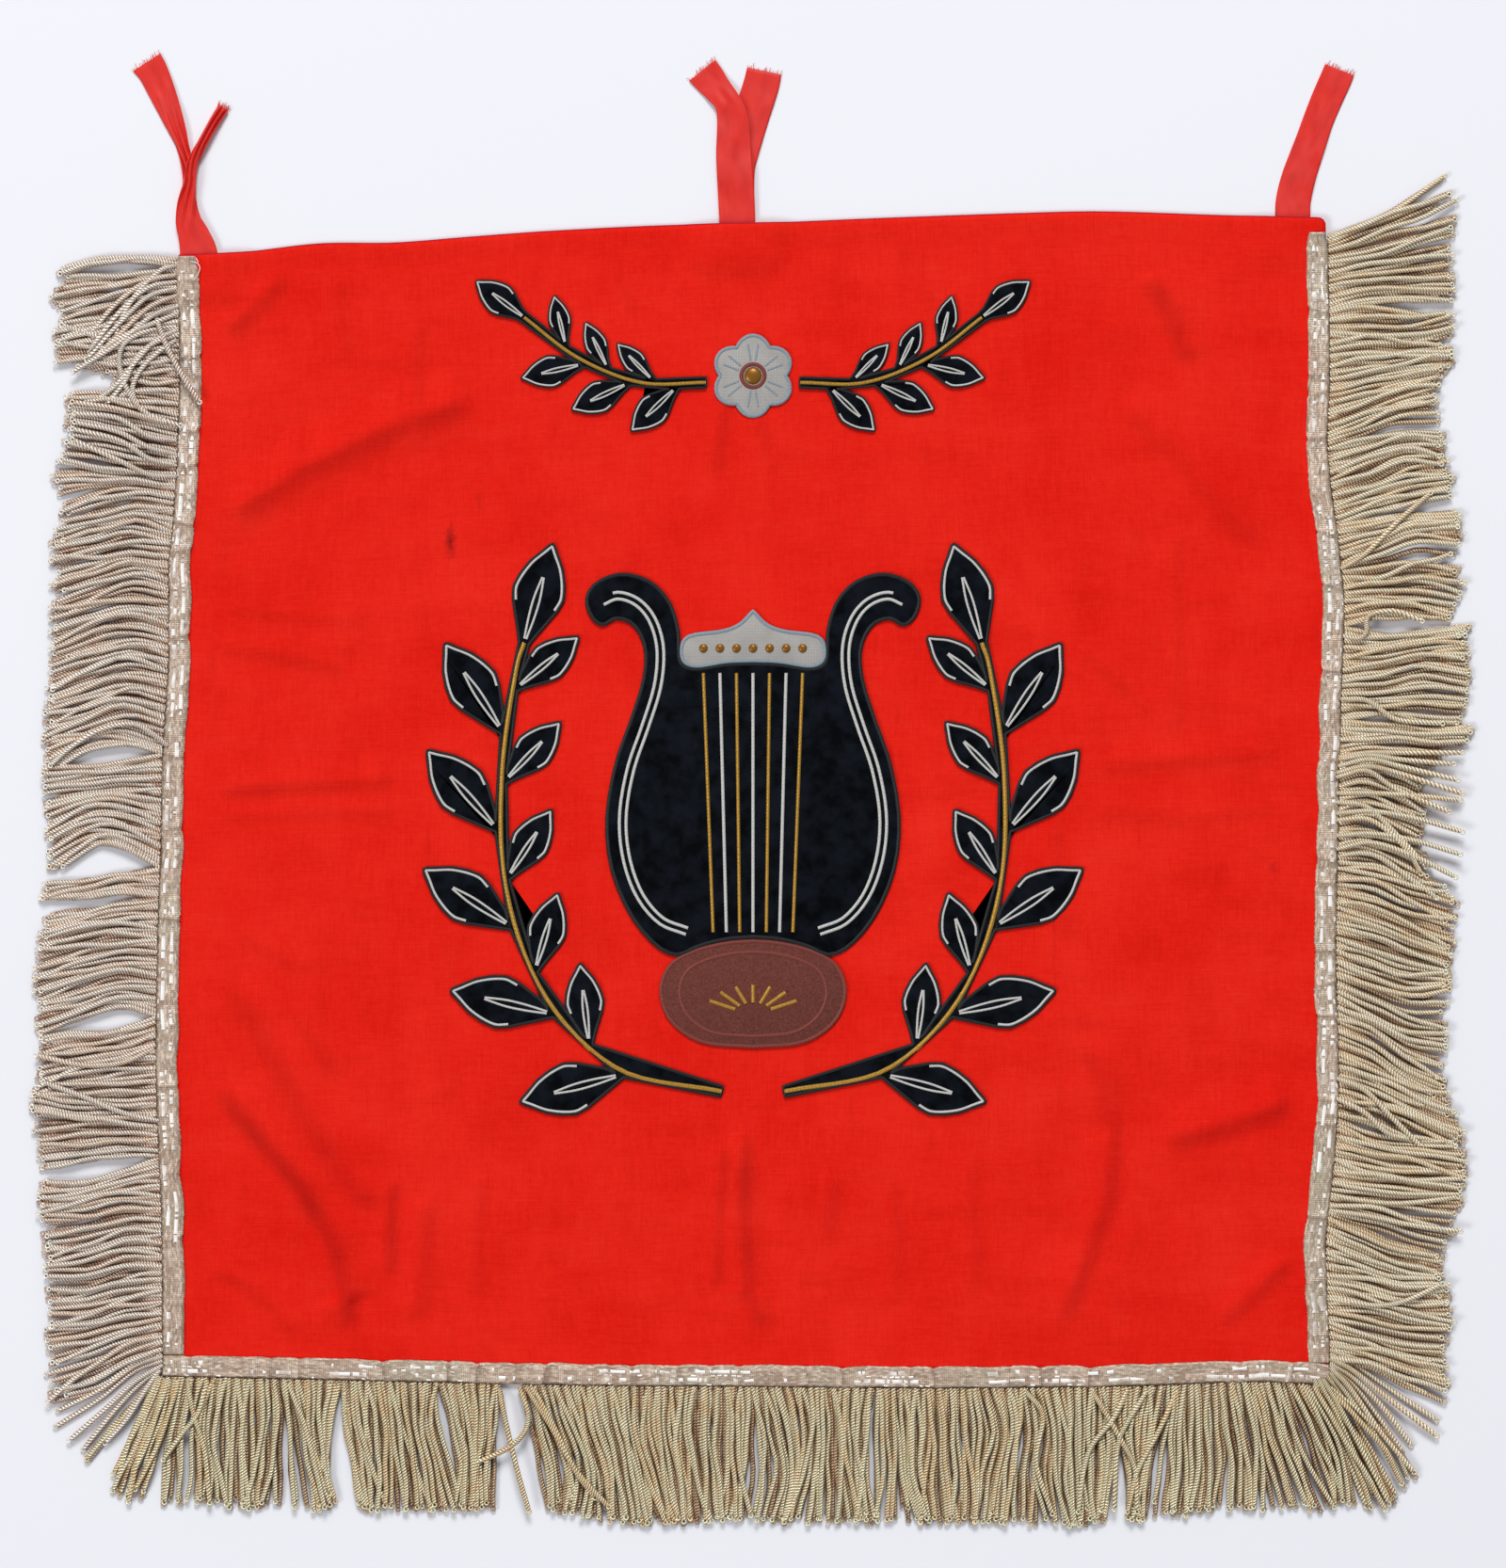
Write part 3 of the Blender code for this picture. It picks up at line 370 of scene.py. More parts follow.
# Cords that fan out round the two lower corners, and the heights at which they lie by turns
CORNER_HEIGHTS = (1.4, 3.6, 2.5)
CORNER_CORDS = (
    # fringe, points (x, y) from the heading to the tip
    ("left", ((-263, -244), (-278, -247), (-295, -252), (-314, -258))),
    ("left", ((-263, -247), (-277, -251), (-292, -259), (-308, -266))),
    ("left", ((-263, -250), (-275, -254), (-291, -265), (-309, -274))),
    ("left", ((-263, -252), (-276, -257), (-291, -269), (-310, -281))),
    ("left", ((-263, -254), (-275, -261), (-288, -273), (-304, -287))),
    ("left", ((-264, -255), (-275, -264), (-286, -276), (-298, -291))),
    ("left", ((-264, -256), (-273, -267), (-284, -281), (-296, -296))),
    ("left", ((-265, -257), (-272, -267), (-279, -278), (-288, -288))),
    ("bottom", ((-265, -258), (-271, -272), (-278, -288), (-284, -308))),
    ("bottom", ((-264, -259), (-268, -275), (-275, -291), (-282, -311))),
    ("bottom", ((-262, -260), (-266, -276), (-273, -292), (-278, -314))),
    ("bottom", ((-260, -260), (-263, -276), (-269, -291), (-272, -305))),
    ("bottom", ((-257, -260), (-259, -277), (-262, -295), (-263, -315))),
    ("right", ((257, -244), (271, -248), (289, -255), (309, -261))),
    ("right", ((257, -247), (268, -251), (284, -258), (301, -267))),
    ("right", ((257, -249), (268, -254), (284, -265), (304, -278))),
    ("right", ((257, -251), (267, -256), (282, -268), (304, -285))),
    ("right", ((257, -253), (267, -259), (280, -272), (293, -289))),
    ("right", ((257, -254), (266, -261), (277, -275), (289, -292))),
    ("right", ((257, -255), (266, -264), (279, -283), (294, -301))),
    ("bottom", ((257, -257), (265, -267), (278, -286), (290, -308))),
    ("bottom", ((256, -259), (264, -270), (274, -289), (286, -311))),
    ("bottom", ((254, -260), (261, -272), (271, -291), (283, -315))),
    ("bottom", ((252, -260), (259, -274), (268, -293), (276, -311))),
    ("bottom", ((250, -260), (256, -275), (264, -293), (273, -316))),
)

# Threads that have come loose from the top of the left heading
LOOSE_THREADS = (
    ((-250.3, 237.6), (-247.6, 237.0), (-246.2, 234.9), (-247.0, 232.0), (-249.0, 229.4)),
    ((-251.6, 238.4), (-249.6, 239.6), (-247.9, 239.0), (-246.9, 237.2)),
)

# The three lengths of fringe
FRINGES = (
    # name, start and end of the heading, shape, seed
    ("left", -249.2, 239.5, LEFT_FRINGE, 3),
    ("bottom", -263.2, 257.6, BOTTOM_FRINGE, 5),
    ("right", -253.0, 250.4, RIGHT_FRINGE, 7),
)

# Tones of the cords of each fringe: ridges at their brightest and where tarnished, and grooves, whose colour
# is also the painted shade on the cords' sides and low between them; and then a darker copy of the same for
# the cords that lie under the others, painted as the shade they lie in
CORD_TONES = {
    "left": ((1.0, 0.99, 0.88), (1.0, 0.86, 0.69), (0.37, 0.17, 0.09),
             (0.98, 0.76, 0.58), (0.60, 0.38, 0.26), (0.15, 0.05, 0.02)),
    "bottom": ((1.0, 0.96, 0.65), (0.99, 0.78, 0.45), (0.26, 0.12, 0.04),
               (0.72, 0.52, 0.29), (0.47, 0.27, 0.13), (0.12, 0.04, 0.015)),
    "right": ((1.0, 0.98, 0.76), (1.0, 0.85, 0.57), (0.42, 0.22, 0.10),
              (1.0, 0.78, 0.50), (0.62, 0.40, 0.22), (0.17, 0.065, 0.025)),
}

# Free tails of the ties, from the hem outwards
LEFT_LONG_TAIL = (
    # x, y, width
    (-247.2, 234.0, 17.0), (-247.2, 241.9, 16.6), (-249.3, 249.5, 14.0), (-251.8, 256.6, 11.3),
    (-252.2, 265.0, 8.0), (-251.3, 272.6, 5.6), (-252.4, 281.8, 5.0), (-254.5, 289.8, 5.8),
    (-256.6, 296.3, 7.7), (-259.8, 304.5, 10.0), (-263.6, 313.7, 12.0), (-267.5, 322.4, 13.4),
    (-270.4, 327.0, 14.5),
)
LEFT_SHORT_TAIL = (
    # x, y, width
    (-247.2, 234.0, 17.0), (-247.2, 241.9, 16.6), (-249.3, 249.5, 14.0), (-251.8, 256.6, 11.3),
    (-252.2, 265.0, 8.0), (-251.0, 272.6, 5.4), (-249.8, 281.0, 4.8), (-247.0, 287.7, 4.6),
    (-244.0, 293.4, 4.6), (-240.7, 299.5, 4.8), (-236.3, 306.8, 5.2),
)
CENTRE_BACK_TAIL = (
    # x, y, width
    (-7.0, 248.0, 16.0), (-7.0, 256.0, 16.0), (-7.4, 268.0, 16.0), (-7.1, 279.7, 16.0),
    (-5.2, 288.1, 16.0), (-2.6, 296.9, 16.0), (0.4, 306.6, 16.0), (3.6, 316.7, 16.0),
    (5.0, 323.0, 15.6),
)
CENTRE_FRONT_TAIL = (
    # x, y, width
    (-7.0, 248.0, 16.0), (-7.0, 256.0, 16.0), (-7.6, 270.0, 16.2), (-8.5, 286.0, 15.8),
    (-8.8, 300.0, 14.4), (-11.2, 308.6, 12.0), (-15.4, 314.4, 12.6), (-19.2, 319.2, 14.2),
    (-22.6, 323.4, 15.0),
)
RIGHT_TAIL = (
    # x, y, width
    (240.8, 250.0, 15.7), (240.8, 258.0, 15.7), (241.0, 265.0, 15.6), (243.0, 274.3, 15.2),
    (246.2, 284.0, 14.5), (249.1, 292.2, 13.9), (252.2, 301.2, 13.6), (256.1, 310.8, 13.9),
    (260.0, 319.6, 14.0), (261.6, 323.6, 13.8),
)
TIE_TURN = 1.2
TIE_MARGIN = 2.5
TIE_SPREAD = 14.0
TIE_LAYER = 1.3
TIES = (
    # name, lower tail, upper tail, rows of the upper tail that lie on the lower one
    ("left", LEFT_LONG_TAIL, LEFT_SHORT_TAIL, 8),
    ("centre", CENTRE_BACK_TAIL, CENTRE_FRONT_TAIL, 6),
    ("right", RIGHT_TAIL, None, 0),
)

# Half of the lyre, mirrored in the banner's middle line
BODY_HALF = (
    # x, y
    (0, -63), (12, -64), (24, -67), (34, -71), (44, -66), (55, -52), (63, -32), (65, -10), (61, 14),
    (54, 34), (48.5, 52), (48, 66), (53, 76), (61, 79), (67, 76), (72, 80), (74, 88), (69, 95),
    (58, 98.5), (46, 95), (37.5, 86), (33.6, 74), (33.2, 66), (32.2, 58.8), (25.5, 56.2), (12, 58.2),
    (0, 58.7),
)
BODY_LINE = (
    # x, y
    (30, -62), (42, -57), (52, -45), (58, -28), (59.5, -9), (56, 12), (49.5, 31), (44, 49), (42.8, 65),
    (46, 77), (52, 84.5), (60, 87.5), (66.5, 85),
)
BOWL_HALF = (
    # x, y
    (0, -112), (22, -110), (36, -101), (41, -88), (37, -76), (26, -69.5), (12, -66), (0, -65),
)
YOKE_HALF = (
    # x, y
    (0, 60), (12, 59.5), (25, 57.5), (31, 60), (31.8, 66), (28, 71), (14, 73), (6, 76), (0, 82),
)
STRINGS = 7
STRING_PITCH = 7.6
STRING_LEAN = 0.78
STRING_TOP_LEAN = 0.97
LINE_GAP = 3.0
BOWL_MIDDLE = Vector((0.0, -89.0))
BOWL_RING = 0.80
FAN_RAYS = 7
FAN_TURN = 0.36
FAN_FLAT = 0.62
FAN_ROOT = BOWL_MIDDLE + Vector((0.0, -9.0))

# Leafy pieces: stem points, pairs of leaves, where the first grows, and each leaf's length and half width
SPRAY = (
    ((14, -132), (60, -122), (93, -89), (110, -42), (112, 8), (106, 54), (102, 68)),
    5, 0.16, (46.0, 11.5), (35.0, 8.4),
)
FESTOON = (
    ((21, 184), (50, 184), (78, 195), (102, 213)),
    3, 0.16, (27.0, 7.0), (22.0, 4.8),
)
LEAF_SWELL = (
    # part of the length, part of the half width
    (0.0, 0.28), (0.12, 0.40), (0.25, 0.64), (0.38, 0.88), (0.50, 1.00), (0.64, 0.88), (0.78, 0.64),
    (0.90, 0.30), (0.96, 0.14),
)
LEAF_ANGLE = math.radians(41)
STEM_HALF = 2.2
LEAF_ROOT_HALF = 2.0
LAST_PAIR = 0.88
FLOWER_PETALS = 6
FLOWER_CENTRE = Vector((0.0, 187.0))
FLOWER_RADIUS = 18.0


# Reading tables and curves

def ease(t):
    """A smooth rise from nothing to one."""
    return t * t * (3 - 2 * t)


def read(rows, at, column=1):
    """Value of a column at a place between the rows of a rising table, on a smooth curve through them."""
    last = len(rows) - 1
    at = min(max(at, rows[0][0]), rows[last][0])
    low = min(bisect_right(rows, at, key=lambda row: row[0]), last) - 1

    def slope(index):
        before, after = rows[max(index - 1, 0)], rows[min(index + 1, last)]
        return (after[column] - before[column]) / (after[0] - before[0])

    here, there = rows[low], rows[low + 1]
    span = there[0] - here[0]
    t = (at - here[0]) / span
    bend_in = t * (1 - t) ** 2 * span * slope(low)
    bend_out = t * t * (t - 1) * span * slope(low + 1)
    return here[column] + (there[column] - here[column]) * ease(t) + bend_in + bend_out


def read_straight(rows, at, column=1):
    """Value of a column at a place between the rows of a rising table, on straight lines."""
    last = len(rows) - 1
    at = min(max(at, rows[0][0]), rows[last][0])
    low = min(bisect_right(rows, at, key=lambda row: row[0]), last) - 1
    here, there = rows[low], rows[low + 1]
    return here[column] + (there[column] - here[column]) * (at - here[0]) / (there[0] - here[0])


def read_point(rows, at, size=2):
    """Point whose coordinates are the first columns of a table, at a place between its rows."""
    return Vector([read(rows, at, column) for column in range(1, size + 1)])


def way_at(angle):
    """The direction at an angle from +X."""
    return Vector((math.cos(angle), math.sin(angle)))


def turned(way, angle):
    """A direction turned anticlockwise."""
    cos, sin = math.cos(angle), math.sin(angle)
    return Vector((way.x * cos - way.y * sin, way.x * sin + way.y * cos))


def left_of(way):
    """The direction to the left of a way."""
    return Vector((-way.y, way.x))


def curve_point(corners, part):
    """Point of a smooth curve through corners, and the way it runs there."""
    rows = [(index, x, y) for index, (x, y) in enumerate(corners)]
    at = part * (len(corners) - 1)
    way = read_point(rows, at + 0.02) - read_point(rows, at - 0.02)
    return read_point(rows, at), way.normalized()


def smooth_line(corners, steps):
    """Points along a smooth curve through corners."""
    return [curve_point(corners, step / steps)[0] for step in range(steps + 1)]


def even_line(points, pitch, closed=False):
    """Points a pitch apart along straight stretches between points."""
    points = [Vector(point) for point in points]
    if closed:
        points.append(points[0])
    runs = [0.0]
    for start, end in zip(points, points[1:]):
        runs.append(runs[-1] + (end - start).length)
    count = max(2, round(runs[-1] / pitch))
    line = []
    low = 0
    for step in range(count + (0 if closed else 1)):
        at = runs[-1] * step / count
        while low < len(runs) - 2 and runs[low + 1] < at:
            low += 1
        part = (at - runs[low]) / max(runs[low + 1] - runs[low], 1e-6)
        line.append(points[low].lerp(points[low + 1], min(part, 1.0)))
    return line


def ripple(place, size, seed=0.0):
    """A smooth uneven value from about -1 to 1, with bumps of a size."""
    return noise.noise(Vector((place[0] / size, place[1] / size, seed))) * 1.6


# Shape of the cloth

def shows_beyond(name, along):
    """How far the cloth shows beyond a heading's outer edge."""
    if name == "left":
        return read(LEFT_SHOWS, along)
    return read(RIGHT_SHOWS, along)


def field_point(u, v):
    """Point of the cloth, u from its left edge to its right and v from its bottom to its top.

    It starts from a plain height, which the cloth's own edges then correct twice."""
    y = FIRST_HEIGHT * (v - 0.5)
    for _ in range(2):
        left = read(LEFT_LINE, y) - HEADING_HALF + CLOTH_INSET - shows_beyond("left", y)
        right = read(RIGHT_LINE, y) + HEADING_HALF - CLOTH_INSET + shows_beyond("right", y)
        x = left + (right - left) * u
        low = read(BOTTOM_LINE, x) - HEADING_HALF + CLOTH_INSET
        y = low + (read(TOP_LINE, x) - low) * v
    return Vector((x, y))


def tie_root(lower, upper):
    """Sides and low end of the place under the hem that a tie's root fills, and its height."""
    x, y, width = lower[0]
    layers = 2 if upper else 1
    side = width / 2 + TIE_MARGIN
    return x - side, x + side, y - TIE_TURN - TIE_MARGIN, layers * TIE_LAYER


def tie_lift(point):
    """Height of the cloth over the tie roots."""
    height = 0.0
    if point.y < LIFTED_FROM:
        return height
    for _, lower, upper, _ in TIES:
        left, right, low, lift = tie_root(lower, upper)
        beside = max(left - point.x, point.x - right, 0.0)
        below = max(low - point.y, 0.0)
        part = max(0.0, 1 - math.hypot(beside, below) / TIE_SPREAD)
        height = max(height, lift * part * (1 + LIFT_SHAPE - LIFT_SHAPE * part))
    return height


def crease_place(point, crease):
    """A point's distance across a fold or crease, how full it is there, and how far along it that is."""
    half, corners = crease[1], crease[3]
    margin = half * CREASE_MARGIN
    for axis in (0, 1):
        low, high = sorted((corners[0][axis], corners[-1][axis]))
        if not low - margin < point[axis] < high + margin:
            return None
    lengths = [(Vector(end) - Vector(start)).length for start, end in zip(corners, corners[1:])]
    total = sum(lengths)
    found = None
    before = 0.0
    for start, end, length in zip(corners, corners[1:], lengths):
        start, end = Vector(start), Vector(end)
        part = min(max((point - start).dot(end - start) / length ** 2, 0.0), 1.0)
        gap = point - start.lerp(end, part)
        if found is None or gap.length < abs(found[0]):
            gentle = left_of((end - start) / length)
            if gentle.dot(GENTLE_WAY) < 0:
                gentle = -gentle
            along = before + part * length
            full = min(1.0, along / total * 8, (1 - along / total) * 8)
            found = (math.copysign(gap.length, gap.dot(gentle)), ease(full), along)
        before += length
    return found


def crease_lift(point, crease):
    """Height of the cloth at a fold or crease: steep on one side, gentle on the other, flat at its ends."""
    found = crease_place(point, crease)
    if found is None:
        return 0.0
    across, full, along = found
    height, half = crease[:2]
    across = math.copysign(1, height) * across - half * CREST_SHIFT
    off = abs(across) / (half * (GENTLE_REACH if across > 0 else STEEP_REACH))
    if off >= 1:
        return 0.0
    uneven = 1 + 0.3 * ripple((along, height * 50), 22.0)
    side = 0.72 * (1 - off) ** 2 * (1 + 2 * off) + 0.40 * max(0.0, 1 - off * 2.4) ** 2
    return height * full * uneven * side


def painted_crease_shade(point):
    """How dark the cloth is painted at a point along the folds and creases, as the shade that falls in them.
    """
    most = 0.0
    for crease in FOLDS + CREASES:
        found = crease_place(point, crease)
        if found is None:
            continue
        across, full, along = found
        off = across / crease[1]
        if abs(off) < 1:
            uneven = 1 + 0.4 * ripple((along, crease[0] * 90), 16.0, 7.0)
            most = max(most, crease[2] * full * uneven * (1 - off * off) ** 2)
    return most


def cloth_top(point):
    """Height of the top of the cloth."""
    rise = max([0.0] + [crease_lift(point, fold) for fold in FOLDS])
    rise += sum(crease_lift(point, crease) for crease in CREASES)
    rise += 0.16 * ripple(point, 60.0) + 0.07 * ripple(point, 19.0, 5.0)
    depth = read(TOP_LINE, point.x) - point.y
    hem = HEM_EXTRA * min(1.0, max(0.0, (HEM_DEPTH + 3.0 - depth) / 6.0))
    return CLOTH_THICK + max(rise, -0.25) + tie_lift(point) + hem


# Making pieces

def as_mesh(name, bm):
    """Put a bmesh into a new mesh."""
    mesh = bpy.data.meshes.new(name)
    bm.to_mesh(mesh)
    bm.free()
    return mesh


def map_places(uv, places):
    """Set a UV map from the places of vertices along and across a piece."""
    for vert, place in places.items():
        for loop in vert.link_loops:
            loop[uv].uv = place


def finish_piece(name, bm, material, slot, *nodes):
    """Make a bmesh in millimetres into a named piece in metres that stands for CAD nodes."""
    bmesh.ops.scale(bm, vec=(MM, MM, MM), verts=bm.verts)
    for face in bm.faces:
        face.smooth = True
    mesh = as_mesh(name, bm)
    mesh.materials.append(material)
    piece = bpy.data.objects.new(name, mesh)
    bpy.context.scene.collection.objects.link(piece)
    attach(piece, "root")
    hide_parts(*nodes)
    return piece


def thicken(piece, thick, offset=-1.0):
    """Give a sheet its thickness: downwards from its face, or to both sides with an offset of 0."""
    walls = piece.modifiers.new("thickness", "SOLIDIFY")
    walls.thickness = thick * MM
    walls.offset = offset


def lay_strip(bm, path, width, height, base, closed=False, across=4, flat=False):
    """A raised strip along a path, with its UV map in millimetres along and across it.

    base is its height, or a function of a point that gives it. width may be a list, one for each point."""
    uv = bm.loops.layers.uv.verify()
    steps = len(path) if closed else len(path) - 1
    made = bmesh.ops.create_grid(bm, x_segments=steps, y_segments=across, size=0.5)["verts"]
    runs = [0.0]
    for index in range(steps):
        runs.append(runs[-1] + (path[(index + 1) % len(path)] - path[index]).length)
    places = {}
    for vert in made:
        row = round((vert.co.x + 0.5) * steps)
        side = (vert.co.y + 0.5) * 2 - 1
        here = path[row % len(path)]
        after = path[(row + 1) % len(path)] if closed else path[min(row + 1, len(path) - 1)]
        before = path[(row - 1) % len(path)] if closed else path[max(row - 1, 0)]
        way = (after - before).xy.normalized()
        wide = width[row % len(path)] if isinstance(width, list) else width
        place = here.xy + left_of(way) * side * wide / 2
        lift = height * (1 - abs(side) ** 3) if flat else height * math.sqrt(max(0.0, 1 - side * side))
        floor = base(place) if callable(base) else base
        places[vert] = (runs[row], side * wide / 2)
        vert.co = (place.x, place.y, floor + lift)
    map_places(uv, places)
    if closed:
        bmesh.ops.remove_doubles(bm, verts=made, dist=0.01)


# Materials

def grow(tree, kind, inputs=None, **settings):
    """Add a shader node with its settings, and set or link its inputs."""
    made = tree.nodes.new("ShaderNode" + kind)
    for key, value in settings.items():
        setattr(made, key, value)
    for key, value in (inputs or {}).items():
        socket = made.inputs[key]
        if isinstance(value, bpy.types.NodeSocket):
            tree.links.new(value, socket)
        else:
            socket.default_value = value
    return made


def start_material(name, roughness, **sockets):
    """A Principled material with its plain values set on the shader's own sockets."""
    material = bpy.data.materials.new(name)
    material.use_nodes = True
    tree = material.node_tree
    shader = tree.nodes["Principled BSDF"]
    shader.inputs["Roughness"].default_value = roughness
    for key, value in sockets.items():
        shader.inputs[key.replace("_", " ").title().replace("Ior", "IOR")].default_value = value
    return material, tree, shader


def in_millimetres(tree, source="Object", scale=(1000.0, 1000.0, 1000.0), turn=0.0):
    """Coordinates in millimetres, from the object or from a UV map that already is."""
    coordinates = grow(tree, "TexCoord")
    return grow(tree, "Mapping", {
        "Vector": coordinates.outputs[source],
        "Scale": scale,
        "Rotation": (0.0, 0.0, turn),
    }).outputs["Vector"]


def bands(tree, vector, period, direction="X", distortion=0.0, phase=0.0):
    """Even bands of a period in the vector's units."""
    return grow(tree, "TexWave", {
        "Vector": vector,
        "Scale": math.tau / 20 / period,
        "Distortion": distortion,
        "Detail": 1.0,
        "Detail Scale": 1.0,
        "Phase Offset": phase,
    }, bands_direction=direction).outputs["Fac"]


def mottle(tree, vector, size, detail=2.0, roughness=0.5):
    """Soft uneven patches of a size in the vector's units."""
    return grow(tree, "TexNoise", {
        "Vector": vector,
        "Scale": 1.0 / size,
        "Detail": detail,
        "Roughness": roughness,
    }).outputs["Fac"]


def maths(tree, operation, a, b=0.5, clamp=False):
    """A sum, product or the like of two values."""
    return grow(tree, "Math", {0: a, 1: b}, operation=operation, use_clamp=clamp).outputs[0]


def apart(tree, vector):
    """The X, Y and Z of a vector."""
    return grow(tree, "SeparateXYZ", {0: vector}).outputs


def ramp(tree, value, *stops):
    """Colours along a value, each stop a place and a colour."""
    made = grow(tree, "ValToRGB", {"Fac": value})
    elements = made.color_ramp.elements
    while len(elements) < len(stops):
        elements.new(0.5)
    for element, (place, colour) in zip(elements, stops):
        element.position = place
        element.color = (*colour, 1.0)
    return made.outputs["Color"]


def blended(tree, part, a, b):
    """A mix of two colours."""
    made = grow(tree, "Mix", {0: part}, data_type="RGBA")
    for socket, colour in ((made.inputs[6], a), (made.inputs[7], b)):
        if isinstance(colour, bpy.types.NodeSocket):
            tree.links.new(colour, socket)
        else:
            socket.default_value = (*colour, 1.0)
    return made.outputs[2]


def raise_surface(tree, shader, height, strength, distance):
    """Bump from a height."""
    bump = grow(tree, "Bump", {"Height": height, "Strength": strength, "Distance": distance * MM})
    tree.links.new(bump.outputs["Normal"], shader.inputs["Normal"])


def woven(tree, vector, pitch):
    """Height of a plain weave: threads both ways, over and under by turns."""
    warp = bands(tree, vector, pitch, "X")
    weft = bands(tree, vector, pitch, "Y")
    over = bands(tree, vector, pitch * 2, "X", phase=1.57)
    under = bands(tree, vector, pitch * 2, "Y", phase=1.57)
    turn = maths(tree, "GREATER_THAN", maths(tree, "ADD", over, under), 1.0)
    return maths(tree, "ADD", maths(tree, "MULTIPLY", warp, turn), weft)


def red_cloth():
    """Fine plain-woven red cotton, nearly matt, with faint uneven tone, a few dark marks and shade painted
    along its folds and creases.
    """
    material, tree, shader = start_material("red_cloth", 0.88, specular_ior_level=0.08, sheen_weight=0.015)
    place = in_millimetres(tree)
    patch = mottle(tree, place, 55.0, 3.0)
    fine = mottle(tree, place, 2.2, 3.0, 0.7)
    tone = maths(tree, "ADD", maths(tree, "MULTIPLY", patch, 0.6), maths(tree, "MULTIPLY", fine, 0.4))
    colour = ramp(tree, tone,
                  (0.34, (0.74, 0.008, 0.0030)),
                  (0.50, (0.80, 0.0135, 0.0055)),
                  (0.68, (0.85, 0.020, 0.0095)))
    for across, up, strength in SLUBS:
        scale = (FIELD_WIDTH * across, FIELD_HEIGHT * up, 1.0)
        slub = mottle(tree, in_millimetres(tree, "UV", scale), 1.0, 3.0, 0.6)
        thick = maths(tree, "MULTIPLY", maths(tree, "SUBTRACT", slub, 0.53, clamp=True), 0.9 * strength)
        colour = blended(tree, thick, colour, (0.90, 0.040, 0.026))
        thin = maths(tree, "MULTIPLY", maths(tree, "SUBTRACT", 0.47, slub, clamp=True), 1.5 * strength)
        colour = blended(tree, thin, colour, (0.55, 0.004, 0.002))
    # Darker along the folds and creases: painted shade, from the vertex layer that make_field() fills
    soil = grow(tree, "Attribute", attribute_name="soil", attribute_type="GEOMETRY").outputs["Fac"]
    colour = blended(tree, soil, colour, (0.16, 0.0015, 0.0008))
    # The third mark is painted shade, of a pucker in the cloth beside the left spray
    for x, y, half_x, half_y, depth, shade in MARKS:
        away = grow(tree, "Mapping", {
            "Vector": place,
            "Location": (-x / half_x, -y / half_y, 0.0),
            "Scale": (1 / half_x, 1 / half_y, 0.0),
        }).outputs["Vector"]
        distance = grow(tree, "VectorMath", {0: away}, operation="LENGTH").outputs["Value"]
        uneven = maths(tree, "MULTIPLY", maths(tree, "SUBTRACT", fine, 0.5), 1.4)
        ragged = maths(tree, "ADD", distance, uneven)
        part = maths(tree, "MULTIPLY", maths(tree, "SUBTRACT", 1.0, ragged, clamp=True), depth)
        colour = blended(tree, part, colour, shade)
    upward = apart(tree, grow(tree, "TexCoord").outputs["UV"])["Y"]
    edge = maths(tree, "MULTIPLY", maths(tree, "GREATER_THAN", upward, 0.9990), 0.7)
    colour = blended(tree, edge, colour, (0.30, 0.006, 0.035))
    tree.links.new(colour, shader.inputs["Base Color"])
    weave = woven(tree, in_millimetres(tree, "UV", (FIELD_WIDTH, FIELD_HEIGHT, 1.0)), 0.42)
    crumple = maths(tree, "MULTIPLY", mottle(tree, place, 9.0, 4.0), 2.2)
    raise_surface(tree, shader, maths(tree, "ADD", weave, crumple), 0.35, 0.12)
    return material


def red_ribbon():
    """Satin ribbon: close fine threads across it and a soft sheen."""
    material, tree, shader = start_material(
        "red_ribbon", 0.42, specular_ior_level=0.3, sheen_weight=0.12, sheen_roughness=0.4)
    shader.inputs["Anisotropic"].default_value = 0.4
    along = in_millimetres(tree, "UV", (1.0, 1.0, 1.0))
    threads = bands(tree, along, 0.30, "X", 0.6)
    lengthwise = mottle(tree, in_millimetres(tree, "UV", (0.08, 1.6, 1.0)), 1.0, 2.0)
    blotch = mottle(tree, in_millimetres(tree, "UV", (0.09, 0.16, 1.0)), 1.0, 2.0)
    tone = maths(tree, "ADD", maths(tree, "MULTIPLY", lengthwise, 0.3), maths(tree, "MULTIPLY", blotch, 0.7))
    colour = ramp(tree, tone,
                  (0.34, (0.62, 0.015, 0.010)),
                  (0.50, (0.71, 0.021, 0.013)),
                  (0.68, (0.78, 0.030, 0.020)))
    tree.links.new(colour, shader.inputs["Base Color"])
    height = maths(tree, "ADD", threads, maths(tree, "MULTIPLY", lengthwise, 0.9))
    raise_surface(tree, shader, height, 0.3, 0.08)
    return material


